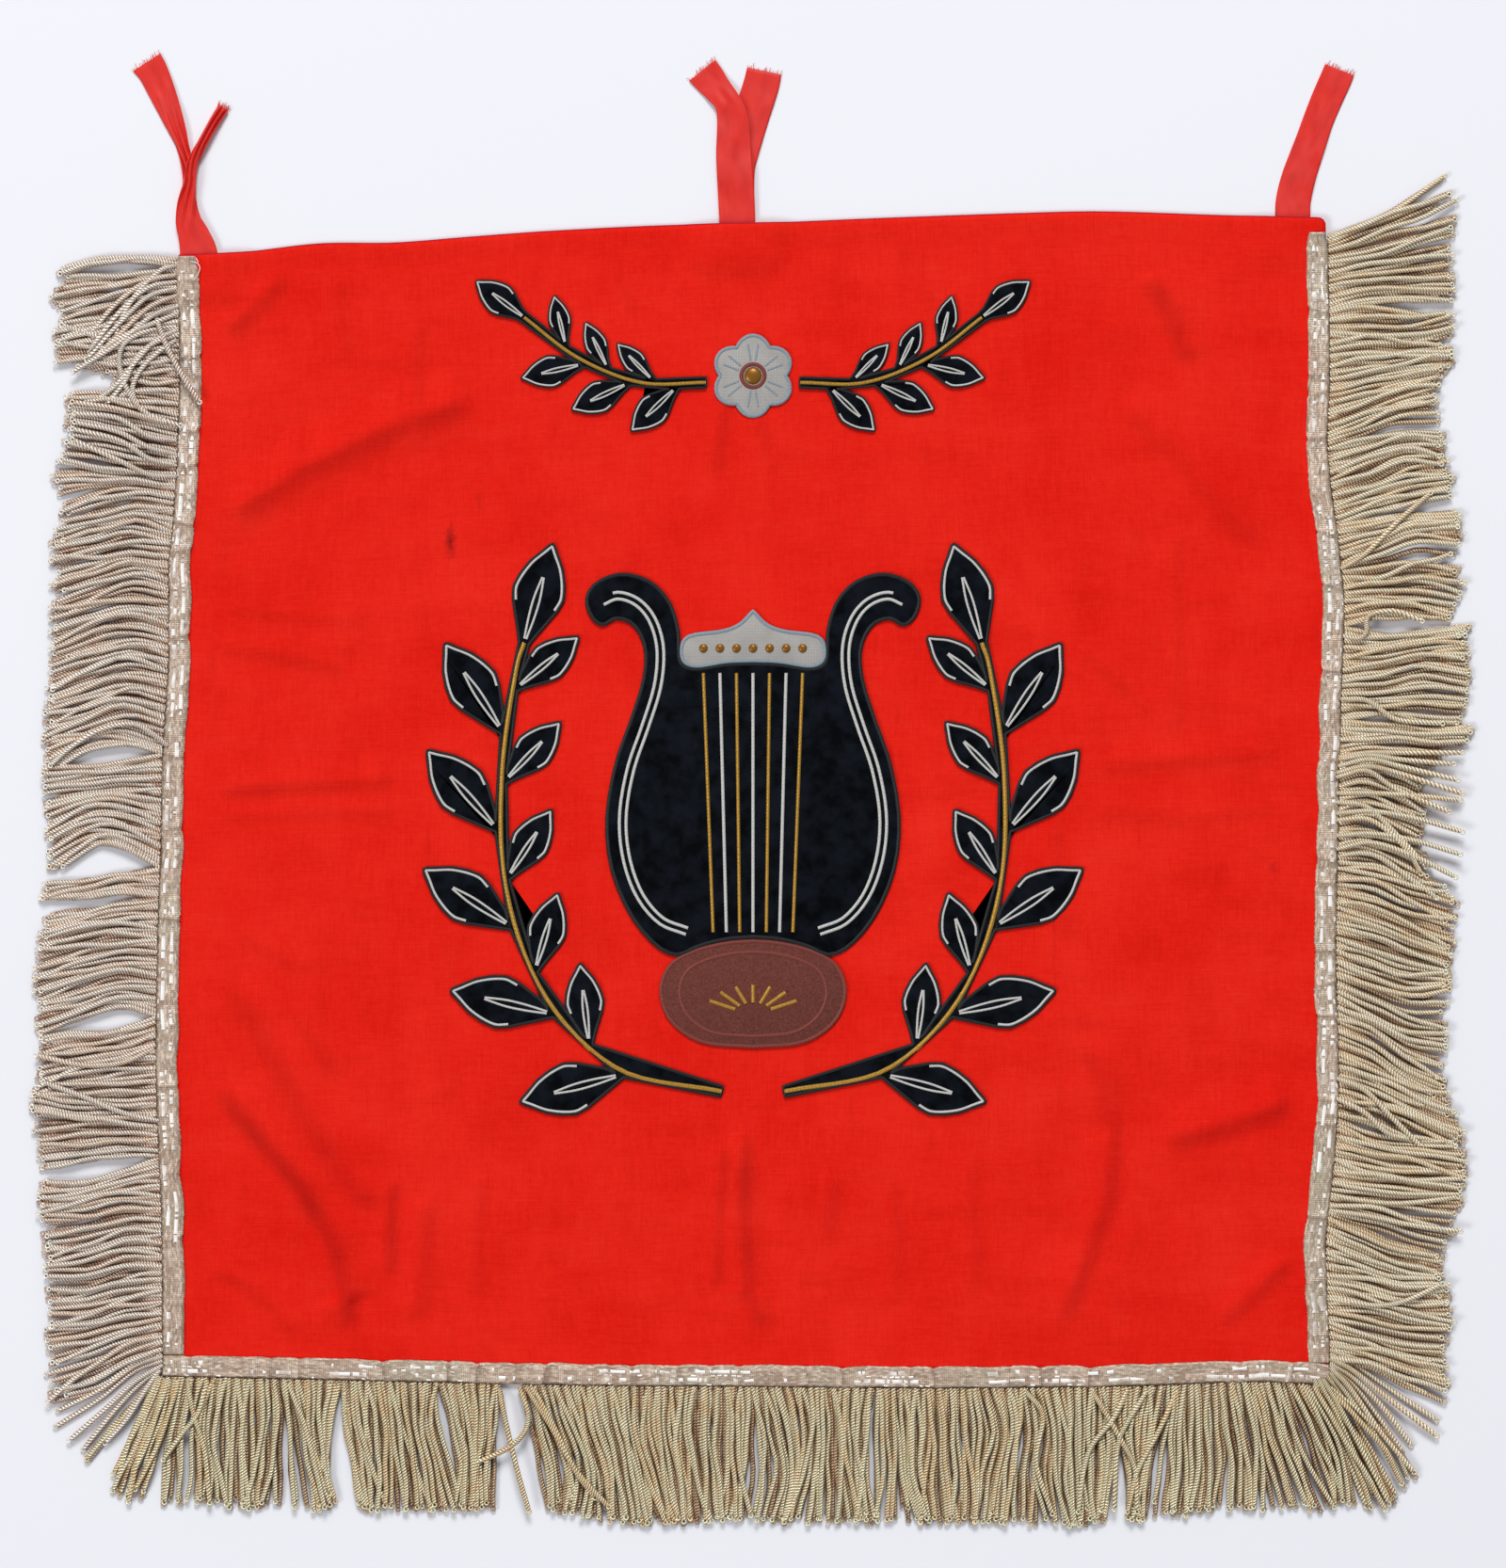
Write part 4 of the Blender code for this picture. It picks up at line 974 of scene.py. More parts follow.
def bullion_cord(name, bright, worn, deep):
    """Tightly twisted metal-wound cord: slanting bright ridges over grooves darkened as painted shade, some
    cords tarnished.

    The whole part of half the cord's first UV value is its number, which gives each cord its own tone.
    Its top is painted lighter, as lit, and its sides and what lies low between the cords are painted darker,
    as shade. Small bright spots along it are painted glints."""
    material, tree, shader = start_material(name, 0.30, metallic=0.20, specular_ior_level=1.0)
    coordinates = grow(tree, "TexCoord").outputs
    round_cord, along_cord, _ = apart(tree, coordinates["UV"])
    turn = maths(tree, "MULTIPLY", round_cord, RIDGE_STARTS * math.tau)
    run = maths(tree, "MULTIPLY", along_cord, math.tau / RIDGE_PITCH)
    wave = maths(tree, "SINE", maths(tree, "ADD", turn, run))
    ridge = maths(tree, "ADD", maths(tree, "MULTIPLY", wave, 0.5), 0.5)
    number = maths(tree, "FLOOR", maths(tree, "MULTIPLY", maths(tree, "ADD", round_cord, 0.5), 0.5))
    own = grow(tree, "TexWhiteNoise", {"W": number}, noise_dimensions="1D").outputs["Value"]
    place = in_millimetres(tree)
    patch = maths(tree, "MULTIPLY", maths(tree, "SUBTRACT", mottle(tree, place, 6.0, 2.0), 0.5), 2.4)
    # Small bright spots along the cords: painted glints
    glint = maths(tree, "MULTIPLY", maths(tree, "SUBTRACT", mottle(tree, place, 1.8, 1.0), 0.5), 2.0)
    shine = maths(tree, "ADD", maths(tree, "MULTIPLY", own, 1.5), maths(tree, "ADD", patch, glint))
    colour = ramp(tree, shine, (0.08, worn), (0.62, bright))
    # Ridges against grooves, the grooves darkened as painted shade between the plies
    part = maths(tree, "ADD", maths(tree, "MULTIPLY", wave, 1.1), 0.90, clamp=True)
    # Painted light: the top of each cord lighter and its sides darker, and the cords that lie low darker
    # still, as shade
    faces_up = apart(tree, coordinates["Normal"])["Z"]
    height = apart(tree, place)["Z"]
    on_top = maths(tree, "MULTIPLY", maths(tree, "SUBTRACT", faces_up, 0.06), 2.2, clamp=True)
    lies_high = maths(tree, "MULTIPLY", maths(tree, "SUBTRACT", height, 0.2), 0.40, clamp=True)
    painted_light = maths(tree, "MULTIPLY", on_top, maths(tree, "ADD", maths(tree, "MULTIPLY", lies_high, 0.5), 0.5))
    ridges_and_painted_light = maths(tree, "MULTIPLY", part, painted_light)
    # deep is the colour of the painted shade in the grooves, on the cords' sides and low between them
    tree.links.new(blended(tree, ridges_and_painted_light, deep, colour), shader.inputs["Base Color"])
    raise_surface(tree, shader, ridge, 0.9, 0.4)
    return material


def heading_tape():
    """Woven tape of pale metal thread: rows of shiny cells and speckles, drawn together by brown gathers."""
    material, tree, shader = start_material("heading_tape", 0.35, metallic=0.1, specular_ior_level=0.6)
    along = in_millimetres(tree, "UV", (1.0, 1.0, 1.0))
    cells = grow(tree, "TexBrick", {
        "Vector": along,
        "Color1": (0.40, 0.28, 0.20, 1.0),
        "Color2": (0.68, 0.52, 0.40, 1.0),
        "Mortar": (0.30, 0.19, 0.13, 1.0),
        "Scale": 1.0,
        "Mortar Size": 0.12,
        "Mortar Smooth": 0.8,
        "Bias": -0.1,
        "Brick Width": 6.5,
        "Row Height": 1.92,
    }, offset=0.37)
    speckle = mottle(tree, in_millimetres(tree, "UV", (0.38, 1.0, 1.0)), 1.0, 1.0, 0.5)
    soil_and_painted_shade = mottle(tree, in_millimetres(tree), 45.0, 2.0)
    olive = maths(tree, "MULTIPLY", maths(tree, "SUBTRACT", soil_and_painted_shade, 0.45, clamp=True), 3.0, clamp=True)
    colour = blended(tree, maths(tree, "MULTIPLY", olive, 0.6), cells.outputs["Color"], (0.44, 0.41, 0.29))
    dark = maths(tree, "MULTIPLY", maths(tree, "SUBTRACT", 0.47, speckle, clamp=True), 5.0, clamp=True)
    colour = blended(tree, maths(tree, "MULTIPLY", dark, 0.55), colour, (0.20, 0.12, 0.08))
    light = maths(tree, "MULTIPLY", maths(tree, "SUBTRACT", speckle, 0.56, clamp=True), 10.0, clamp=True)
    colour = blended(tree, maths(tree, "MULTIPLY", light, 0.55), colour, (0.88, 0.77, 0.64))
    gather = grow(tree, "Attribute", attribute_name="gather", attribute_type="GEOMETRY").outputs["Fac"]
    colour = blended(tree, maths(tree, "MULTIPLY", gather, 0.75), colour, (0.20, 0.12, 0.08))
    tree.links.new(colour, shader.inputs["Base Color"])
    threads = bands(tree, along, 0.8, "X", 1.0)
    height = maths(tree, "ADD", maths(tree, "MULTIPLY", threads, 0.5), maths(tree, "MULTIPLY", speckle, 2.0))
    raise_surface(tree, shader, height, 0.6, 0.3)
    return material


def flat_wire():
    """Bright flattened silver wire, woven over and under the tape."""
    material, tree, shader = start_material("flat_wire", 0.25, specular_ior_level=0.9)
    worn = mottle(tree, in_millimetres(tree), 6.0, 2.0)
    colour = ramp(tree, worn, (0.36, (0.62, 0.53, 0.46)), (0.52, (1.0, 0.97, 0.93)))
    tree.links.new(colour, shader.inputs["Base Color"])
    raise_surface(tree, shader, worn, 0.3, 0.2)
    return material


def satin_stitch(name, deep, bright, roughness=0.4, metallic=0.0, pitch=0.55):
    """Close stitches laid side by side across a line."""
    material, tree, shader = start_material(name, roughness, metallic=metallic, specular_ior_level=0.4)
    along = in_millimetres(tree, "UV", (1.0, 1.0, 1.0), math.radians(12))
    threads = bands(tree, along, pitch, "X", 0.5)
    uneven = mottle(tree, in_millimetres(tree), 1.4, 2.0)
    part = maths(tree, "MULTIPLY", threads, maths(tree, "ADD", uneven, 0.5), clamp=True)
    tree.links.new(blended(tree, part, deep, bright), shader.inputs["Base Color"])
    raise_surface(tree, shader, threads, 0.7, 0.2)
    return material


def black_velvet():
    """Short-pile velvet: nearly black, with a faint bloom where the pile leans."""
    material, tree, shader = start_material(
        "black_velvet", 0.95, specular_ior_level=0.05, sheen_weight=0.05, sheen_roughness=0.35)
    place = in_millimetres(tree)
    lean = mottle(tree, place, 7.0, 3.0)
    colour = ramp(tree, lean, (0.35, (0.0015, 0.002, 0.003)), (0.65, (0.006, 0.008, 0.012)))
    tree.links.new(colour, shader.inputs["Base Color"])
    raise_surface(tree, shader, mottle(tree, place, 0.35, 2.0), 0.5, 0.3)
    return material


def brown_felt():
    """Felted wool in a dull red brown, with short fibres."""
    material, tree, shader = start_material("brown_felt", 0.95, specular_ior_level=0.1, sheen_weight=0.06)
    place = in_millimetres(tree)
    fibre = grow(tree, "TexNoise", {
        "Vector": place, "Scale": 1.1, "Detail": 5.0, "Roughness": 0.7, "Distortion": 1.2}).outputs["Fac"]
    colour = ramp(tree, fibre,
                  (0.32, (0.085, 0.024, 0.018)),
                  (0.50, (0.145, 0.040, 0.030)),
                  (0.70, (0.210, 0.070, 0.052)))
    tree.links.new(colour, shader.inputs["Base Color"])
    raise_surface(tree, shader, fibre, 0.6, 0.4)
    return material


def grey_cloth():
    """Plain-woven pale grey cloth."""
    material, tree, shader = start_material("grey_cloth", 0.85, specular_ior_level=0.15)
    place = in_millimetres(tree)
    weave = woven(tree, place, 0.6)
    soil_and_painted_shade = mottle(tree, place, 8.0, 3.0)
    colour = ramp(tree, soil_and_painted_shade, (0.35, (0.44, 0.41, 0.38)), (0.60, (0.60, 0.57, 0.54)))
    shade = blended(tree, maths(tree, "MULTIPLY", weave, 0.35), (0.36, 0.34, 0.32), colour)
    tree.links.new(shade, shader.inputs["Base Color"])
    raise_surface(tree, shader, weave, 0.5, 0.2)
    return material


# The field

def make_field(material):
    """The red field: one sheet on the solid's folds, with its finer creases and its top hem."""
    bm = bmesh.new()
    bm.loops.layers.uv.new("UVMap")
    soil_and_painted_shade = bm.verts.layers.float.new("soil")
    bmesh.ops.create_grid(bm, x_segments=CLOTH_ACROSS, y_segments=CLOTH_UP, size=0.5, calc_uvs=True)
    middle = field_point(1.0, 1.0) - Vector((HEM_ROUND, HEM_ROUND))
    for vert in bm.verts:
        place = field_point(vert.co.x + 0.5, vert.co.y + 0.5)
        beyond = place - middle
        if beyond.x > 0 and beyond.y > 0:
            place = middle + beyond * (max(beyond) / beyond.length)
        # How dark the shade painted along the folds and creases is at this point
        vert[soil_and_painted_shade] = painted_crease_shade(place)
        vert.co = (place.x, place.y, cloth_top(place))
    piece = finish_piece("field_cloth", bm, material, "red_cloth", "cloth")
    thicken(piece, SHEET_THICK)
    return piece


# The fringe

def heading_place(name, along, out):
    """Place beside a heading's middle line, out towards the tips of its cords."""
    if name == "left":
        return Vector((read(LEFT_LINE, along) - out, along))
    if name == "right":
        return Vector((read(RIGHT_LINE, along) + out, along))
    return Vector((along, read(BOTTOM_LINE, along) - out))


def heading_ways(name):
    """The way out from a heading, and the way along it."""
    return {
        "left": (Vector((-1, 0)), Vector((0, 1))),
        "right": (Vector((1, 0)), Vector((0, 1))),
        "bottom": (Vector((0, -1)), Vector((1, 0))),
    }[name]


def heading_base(name, along):
    """Height at which a heading lies on the cloth."""
    tops = [cloth_top(heading_place(name, along, out)) for out in (-HEADING_HALF, 0.0, HEADING_HALF - 2)]
    return max(tops) + 0.15


def make_heading(name, start, end, seed, tape, wire):
    """The woven tape of a fringe, gathered here and there, with bright flat wires laid in rows."""
    uneven = random.Random(seed)
    bm = bmesh.new()
    uv = bm.loops.layers.uv.new("UVMap")
    drawn = bm.verts.layers.float.new("gather")
    steps = round((end - start) / HEADING_STEP)
    levels = [start + (end - start) * index / 60 for index in range(61)]
    bases = [(along, heading_base(name, along)) for along in levels]
    gathers = []
    at = start + 12
    while at < end - 8:
        gathers.append((at, uneven.uniform(0.3, 1.0), uneven.uniform(2.0, 4.5), uneven.uniform(-0.25, 0.25)))
        at += uneven.choice(GATHER_GAPS) + uneven.uniform(0, 6)

    def gathered(along, out, part=1.0):
        most = 0.0
        for middle, lift, half, lean in gathers:
            off = abs(along + out * lean - middle) / (half * part)
            if off < 1:
                most = max(most, lift * (1 - off) ** 2 * (1 + 2 * off))
        return most

    def top(along, out):
        height = read(bases, along) + HEADING_THICK + 0.15 * ripple((along, out), 5.0, seed)
        height += 0.8 * gathered(along, out)
        if name != "bottom":
            height += 1.2 * max(0.0, 1 - (end - along) / 3.0) ** 2
        return height - 0.35 * max(0.0, abs(out) / HEADING_HALF - 0.7) / 0.3

    def wander(along):
        return 0.6 * ripple((along, 0), 16.0, seed + 2)

    made = bmesh.ops.create_grid(bm, x_segments=steps, y_segments=8, size=0.5)["verts"]
    places = {}
    for vert in made:
        along = start + (end - start) * (vert.co.x + 0.5)
        out = HEADING_HALF * vert.co.y * (2 if name == "left" else -2)
        picot = 0.0
        if abs(vert.co.y) > 0.49:
            picot = 0.3 * math.sin(along / PICOT_PITCH * math.tau) + 0.3 * ripple((along, out), 2.5, seed)
        narrow = 1 - 0.13 * gathered(along, 0)
        if name != "bottom":
            narrow -= 0.25 * max(0.0, 1 - (end - along) / 7.0)
        place = heading_place(name, along, out * narrow + wander(along) + math.copysign(picot, out))
        places[vert] = (along, out)
        vert[drawn] = min(1.0, 1.2 * gathered(along, out, 0.32))
        vert.co = (place.x, place.y, top(along, out))
    map_places(uv, places)
    piece = finish_piece("heading_" + name, bm, tape, "silver_bullion", "fringe_" + name)
    thicken(piece, HEADING_THICK)

    bm = bmesh.new()
    for row, share, widest in WIRE_ROWS:
        at = start + uneven.uniform(1, 5)
        while at < end - 5:
            length = min(uneven.choice(WIRE_LENGTHS), end - at - 0.5)
            if share < 0.3:
                length = min(length, 2.0)
            shown = share * WIRE_SHINE[name] + 0.45 * ripple((at, row), 40.0, seed + 4)
            if name == "left":
                shown += 0.0010 * at
            if uneven.random() < shown:
                drift = uneven.uniform(-0.2, 0.2)
                path = []
                for step in range(4):
                    along = at + length * step / 3
                    path.append(heading_place(name, along, row + drift * step / 3 + wander(along)))
                lay_strip(bm, path, widest * uneven.uniform(0.7, 1.0), WIRE_THICK,
                          lambda place, a=at, o=row: top(a, o) + 0.02, across=3, flat=True)
            at += length + uneven.choice(WIRE_GAPS)
    wires = finish_piece("heading_wires_" + name, bm, wire, "silver_bullion", "fringe_" + name)
    return piece, wires


def make_cord_pattern(name, cuts):
    """One straight cord of unit length along Z, to be copied along each path."""
    bm = bmesh.new()
    uv = bm.loops.layers.uv.new("UVMap")
    bmesh.ops.create_cone(bm, segments=CORD_SIDES, radius1=1.0, radius2=1.0, depth=1.0)
    bmesh.ops.translate(bm, vec=(0, 0, 0.5), verts=bm.verts)
    bmesh.ops.delete(bm, geom=[face for face in bm.faces if len(face.verts) > 4], context="FACES_ONLY")
    lengthwise = [edge for edge in bm.edges if abs(edge.verts[0].co.z - edge.verts[1].co.z) > 0.5]
    bmesh.ops.subdivide_edges(bm, edges=lengthwise, cuts=cuts)
    for face in bm.faces:
        turns = [math.atan2(loop.vert.co.y, loop.vert.co.x) / math.tau % 1.0 for loop in face.loops]
        for loop, turn in zip(face.loops, turns):
            if turn < 0.5 and max(turns) - turn > 0.6:
                turn += 1.0
            loop[uv].uv = (turn, loop.vert.co.z)
    return as_mesh(name, bm)


def make_loop_pattern():
    """The small loop at a cord's tip, where its ply doubles back: a ring in the XY plane."""
    bm = bmesh.new()
    uv = bm.loops.layers.uv.new("UVMap")
    ring = bmesh.ops.create_circle(bm, segments=4, radius=LOOP_WIRE)["verts"]
    bmesh.ops.rotate(bm, cent=(0, 0, 0), matrix=Matrix.Rotation(math.pi / 2, 3, "X"), verts=ring)
    bmesh.ops.translate(bm, vec=(LOOP_RADIUS, 0, 0), verts=ring)
    bmesh.ops.spin(bm, geom=bm.edges[:], cent=(0, 0, 0), axis=(0, 0, 1), angle=math.tau, steps=7,
                   use_merge=True)
    bmesh.ops.recalc_face_normals(bm, faces=bm.faces)
    # Every loop takes the UV of a ridge's crest, so it is coloured at its cord's brightest all over: a
    # painted glint
    for face in bm.faces:
        for loop in face.loops:
            loop[uv].uv = (0.0, RIDGE_PITCH / 4)
    return as_mesh("loop_pattern", bm)


CORD_PATTERN = make_cord_pattern("cord_pattern", CORD_CUTS)
LOOSE_PATTERN = make_cord_pattern("loose_cord_pattern", LOOSE_CUTS)
LOOP_PATTERN = make_loop_pattern()


def add_cord(bm, path, radius, pattern, number):
    """Copy the straight cord along a path of points, and put its loop at the tip.

    Its UV map carries its number, as bullion_cord() reads it."""
    rows = [(index, point.x, point.y, point.z) for index, point in enumerate(path)]
    length = sum((after - before).length for before, after in zip(path, path[1:]))
    last = len(path) - 1
    verts, faces = len(bm.verts), len(bm.faces)
    bm.from_mesh(pattern)
    bm.verts.ensure_lookup_table()
    bm.faces.ensure_lookup_table()
    stations = {}
    for vert in bm.verts[verts:]:
        part = round(vert.co.z, 4)
        if part not in stations:
            at = part * last
            way = (read_point(rows, at + 0.05, 3) - read_point(rows, at - 0.05, 3)).normalized()
            side = way.cross(UP).normalized()
            stations[part] = (read_point(rows, at, 3), side, side.cross(way))
        here, side, above = stations[part]
        thin = radius * (0.8 if part == 0 else 0.9 if part == 1 else 1.0)
        vert.co = here + (side * vert.co.x + above * vert.co.y) * thin
    uv = bm.loops.layers.uv["UVMap"]
    for face in bm.faces[faces:]:
        for loop in face.loops:
            loop[uv].uv.y = loop[uv].uv.y * length + number * 0.37
    verts = len(bm.verts)
    bm.from_mesh(LOOP_PATTERN)
    bm.verts.ensure_lookup_table()
    bm.faces.ensure_lookup_table()
    for face in bm.faces[faces:]:
        for loop in face.loops:
            loop[uv].uv.x += 2 * number
    here, side, above = stations[1.0]
    way = above.cross(side)
    for vert in bm.verts[verts:]:
        middle = here + way * LOOP_BEYOND
        vert.co = middle + (way * vert.co.x + side * vert.co.y + above * vert.co.z) * (radius / CORD_RADIUS)


def find_partings(rows):
    """Stretches between two roots so close that the cords part there and leave a gap."""
    return [(before[0], after[0]) for before, after in zip(rows, rows[1:]) if after[0] - before[0] <= PARTING]


def cord_path(name, root, guide, layer, uneven, seed, calm):
    """Points of one cord from under its heading to its tip; calm is less than one where it strays less."""
    out, side = heading_ways(name)
    third, two_thirds, tip, reach = guide
    reach += uneven.uniform(-1.8, 1.8) - (uneven.random() < 0.12) * uneven.uniform(2, 7)
    flow = ((0.0, 0.0), (1 / 3, third - root), (2 / 3, two_thirds - root), (1.0, tip - root))
    start = heading_place(name, root, HEADING_HALF - 1.0)
    lift, stray, drawn = CORD_LAYERS[layer][3:]
    stray, drawn = stray * calm, drawn * calm
    gather = drawn * ripple((root, 0), 7.0, seed + layer * 3.7) + stray * uneven.uniform(-1.4, 1.4)
    sway = 0.8 * drawn * ripple((root, 40), 8.0, seed + layer * 5.1) + stray * uneven.uniform(-1.1, 1.1)
    if uneven.random() < 0.10 * layer:
        gather += uneven.uniform(-7, 7) * calm
    wave = uneven.uniform(0.15, 0.9)
    phase = uneven.uniform(0, math.tau)
    high = CORD_LOWEST + lift * (0.35 + 0.65 * calm) + uneven.uniform(0, 0.35)
    path = []
    for step in range(CORD_STEPS + 1):
        t = step / CORD_STEPS
        swell = 4 * t * (1 - t)
        across = read(flow, t) + gather * t * t + sway * swell * (1 - 0.4 * t)
        across += wave * swell * math.sin(t * 11 + phase)
        place = start + out * (1.0 + reach * t) + side * across
        z = ROOT_HEIGHT + (high - ROOT_HEIGHT) * ease(min(1.0, t / 0.22))
        if layer:
            z += 0.5 * ripple((root, t * 30), 9.0, seed + 9)
            z -= (high - CORD_LOWEST) * 0.45 * max(0.0, t - 0.7) / 0.3
        path.append(Vector((place.x, place.y, max(z, CORD_LOWEST))))
    return path


def cord_roots(name, start, end, rows, pitch, shift):
    """Places where cords grow, a pitch apart but for the partings and the bare stretches."""
    partings = find_partings(rows)
    empty = partings + [(low, high) for fringe, low, high in BARE if fringe == name]
    count = round((end - start) / pitch)
    roots = [start + (end - start) * (index + shift) / count for index in range(count)]
    grown = [root for root in roots if not any(low < root < high for low, high in empty)]
    return grown + [edge for parting in partings for edge in parting]


def make_cords(name, start, end, rows, seed, materials):
    """Three layers of cords, the upper ones lying in and across the lower."""
    for layer, (word, pitch, shift, *_) in enumerate(CORD_LAYERS):
        uneven = random.Random(seed * 10 + layer)
        bm = bmesh.new()
        bm.loops.layers.uv.new("UVMap")
        for number, root in enumerate(cord_roots(name, start, end, rows, pitch, shift)):
            guide = [read_straight(rows, root, column) for column in (1, 2, 3, 4)]
            away = min([abs(root - edge) for parting in find_partings(rows) for edge in parting])
            path = cord_path(name, root, guide, layer, uneven, seed, min(1.0, 0.25 + away / 9.0))
            add_cord(bm, path, CORD_RADIUS * uneven.uniform(0.9, 1.06), CORD_PATTERN, number)
        finish_piece(f"cords_{name}_{word}", bm, materials[layer], "silver_bullion", "fringe_" + name)


def make_loose_threads(material):
    """Thin threads of the left heading that have come loose at its top and curl over the cloth."""
    bm = bmesh.new()
    for corners in LOOSE_THREADS:
        path = smooth_line(corners, 14)
        lay_strip(bm, path, THREAD_WIDTH, THREAD_THICK,
                  lambda place: cloth_top(place) + HEADING_THICK + 0.3, across=3)
    finish_piece("loose_threads", bm, material, "silver_bullion", "fringe_left")


def make_loose_cords(name, material):
    """The single cords that lie on top of the others, across them, and those that fan round a corner."""
    bm = bmesh.new()
    bm.loops.layers.uv.new("UVMap")
    heights = [LOOSE_HEIGHT] * len(LOOSE_CORDS) + list(CORNER_HEIGHTS) * len(CORNER_CORDS)
    for number, (fringe, corners) in enumerate(LOOSE_CORDS + CORNER_CORDS):
        if fringe != name:
            continue
        path = []
        for step, point in enumerate(smooth_line(corners, LOOSE_STEPS)):
            t = step / LOOSE_STEPS
            z = LOOSE_ROOT_HEIGHT + (heights[number] - LOOSE_ROOT_HEIGHT) * ease(min(1.0, t / 0.2))
            z -= 1.2 * max(0.0, t - 0.8) / 0.2
            path.append(Vector((point.x, point.y, max(z, CORD_LOWEST))))
        add_cord(bm, path, CORD_RADIUS, LOOSE_PATTERN, number)
    finish_piece("loose_cords_" + name, bm, material, "silver_bullion", "fringe_" + name)


# The ribbon ties

def tail_rows(tail):
    """Middle point, width and way out at even steps along a tail."""
    rows = [(index, *row) for index, row in enumerate(tail)]
    made = []
    for step in range(RIBBON_STEPS + 1):
        at = (len(tail) - 1) * step / RIBBON_STEPS
        way = read_point(rows, at + 0.1) - read_point(rows, at - 0.1)
        made.append((read_point(rows, at), read(rows, at, 3), way.normalized()))
    return made


def ribbon_rows(lower, upper, lying):
    """Rows of a ribbon from one free end to the other, through the fold that is sewn under the hem."""
    tail = tail_rows(lower)
    rows = [(*row, LOWER_HEIGHT) for row in reversed(tail)]
    if upper is None:
        return rows
    here, width, way = tail[0]
    for back, height in ((-0.7, 0.7), (-1.0, 1.05), (-0.7, 1.45)):
        rows.append((here + way * back * 1.1, width, way, height))
    for index, row in enumerate(tail_rows(upper)):
        beyond = index / RIBBON_STEPS * (len(upper) - 1) - lying + 1
        down = ease(min(1.0, max(0.0, beyond / 2)))
        rows.append((*row, UPPER_HEIGHT + (LOWER_HEIGHT - UPPER_HEIGHT) * down))
    return rows


def make_tie(name, lower, upper, lying, material, seed):
    """A ribbon folded in its middle, bunched lengthwise where it is narrow, with frayed cut ends."""
    bm = bmesh.new()
    uv = bm.loops.layers.uv.verify()
    rows = ribbon_rows(lower, upper, lying)
    steps = len(rows) - 1
    made = bmesh.ops.create_grid(bm, x_segments=steps, y_segments=RIBBON_ACROSS, size=0.5)["verts"]
    runs = [0.0]
    for before, after in zip(rows, rows[1:]):
        runs.append(runs[-1] + max((after[0] - before[0]).length, abs(after[3] - before[3])))
    places = {}
    for vert in made:
        index = round((vert.co.x + 0.5) * steps)
        side = vert.co.y * 2
        here, width, way, height = rows[index]
        bunched = max(0.0, 1 - width / BUNCHED_BELOW)
        pleat = 1 - math.cos(side * math.pi * 2.4 + 3.0 * ripple((0, here.y), 26.0, seed))
        place = here + left_of(way) * -side * width / 2
        wave = 0.3 * (1 - bunched) * ripple((runs[index], side * 6), 11.0, seed)
        z = height + bunched * pleat * 1.75 + wave * min(1.0, runs[index] / 12)
        places[vert] = (runs[index], side * RIBBON_WIDTH / 2)
        vert.co = (place.x, place.y, max(z, RIBBON_LOWEST))
    map_places(uv, places)
    piece = finish_piece(f"ribbon_{name}", bm, material, "red_ribbon", f"tie_{name}")
    thicken(piece, RIBBON_THICK, 0.0)

    uneven = random.Random(seed)
    bm = bmesh.new()
    for here, width, way, height in [rows[0]] + ([rows[-1]] if upper else []):
        for index in range(FRAYS):
            side = index / (FRAYS - 1) * 2 - 1
            root = here - left_of(way) * side * width * 0.48 - way * 0.4
            length = uneven.uniform(0.6, 2.6) * (1.3 if uneven.random() < 0.2 else 1)
            grown = turned(way, uneven.uniform(-0.5, 0.5))
            path = even_line([root, root + grown * length], 0.7)
            lay_strip(bm, path, FRAY_WIDTH, 0.12, height + 0.1, across=2)
    frays = finish_piece(f"frays_{name}", bm, material, "red_ribbon", f"tie_{name}")
    return piece, frays


# The sewn-on design

def leaf_side(root, way, length, half):
    """Points along one side of a leaf from its root to its tip; half is negative on the left side."""
    across = -left_of(way)
    return [root + way * length * part + across * half * swell for part, swell in LEAF_SWELL[1:]]


def leafy_leaves(stem, pairs, first, outer, inner):
    """Root, way, length and half width of each leaf of a leafy piece, the end leaf last."""
    leaves = []
    for side, (length, half) in ((1, outer), (-1, inner)):
        for pair in range(pairs):
            part = first + (LAST_PAIR - first) * (pair + 0.5 * (side < 0)) / pairs
            root, way = curve_point(stem, part)
            leaves.append((root - left_of(way) * side * STEM_HALF, way, turned(way, -side * LEAF_ANGLE),
                           length, half, side))
    root, way = curve_point(stem, 1.0)
    leaves.append((root, way, way, outer[0], outer[1], 0))
    return leaves


def leafy_outline(stem, pairs, first, outer, inner):
    """Outline of a stem with a leaf at its end and pairs of leaves along it."""
    sides = {1: [], -1: []}
    for side in (1, -1):
        root, way = curve_point(stem, 0.0)
        sides[side].append(root - left_of(way) * side * STEM_HALF)
    for root, way, grown, length, half, side in leafy_leaves(stem, pairs, first, outer, inner):
        if side:
            line = sides[side]
            line.append(root - way * LEAF_ROOT_HALF)
            line.extend(leaf_side(root, grown, length, side * half))
            line.append(root + grown * length)
            line.extend(reversed(leaf_side(root, grown, length, -side * half)))
            line.append(root + way * LEAF_ROOT_HALF)
        else:
            tip = [root - left_of(way) * STEM_HALF] + leaf_side(root, way, length, half)
            tip += [root + way * length]
            tip += list(reversed(leaf_side(root, way, length, -half))) + [root + left_of(way) * STEM_HALF]
    return sides[1] + tip + list(reversed(sides[-1]))


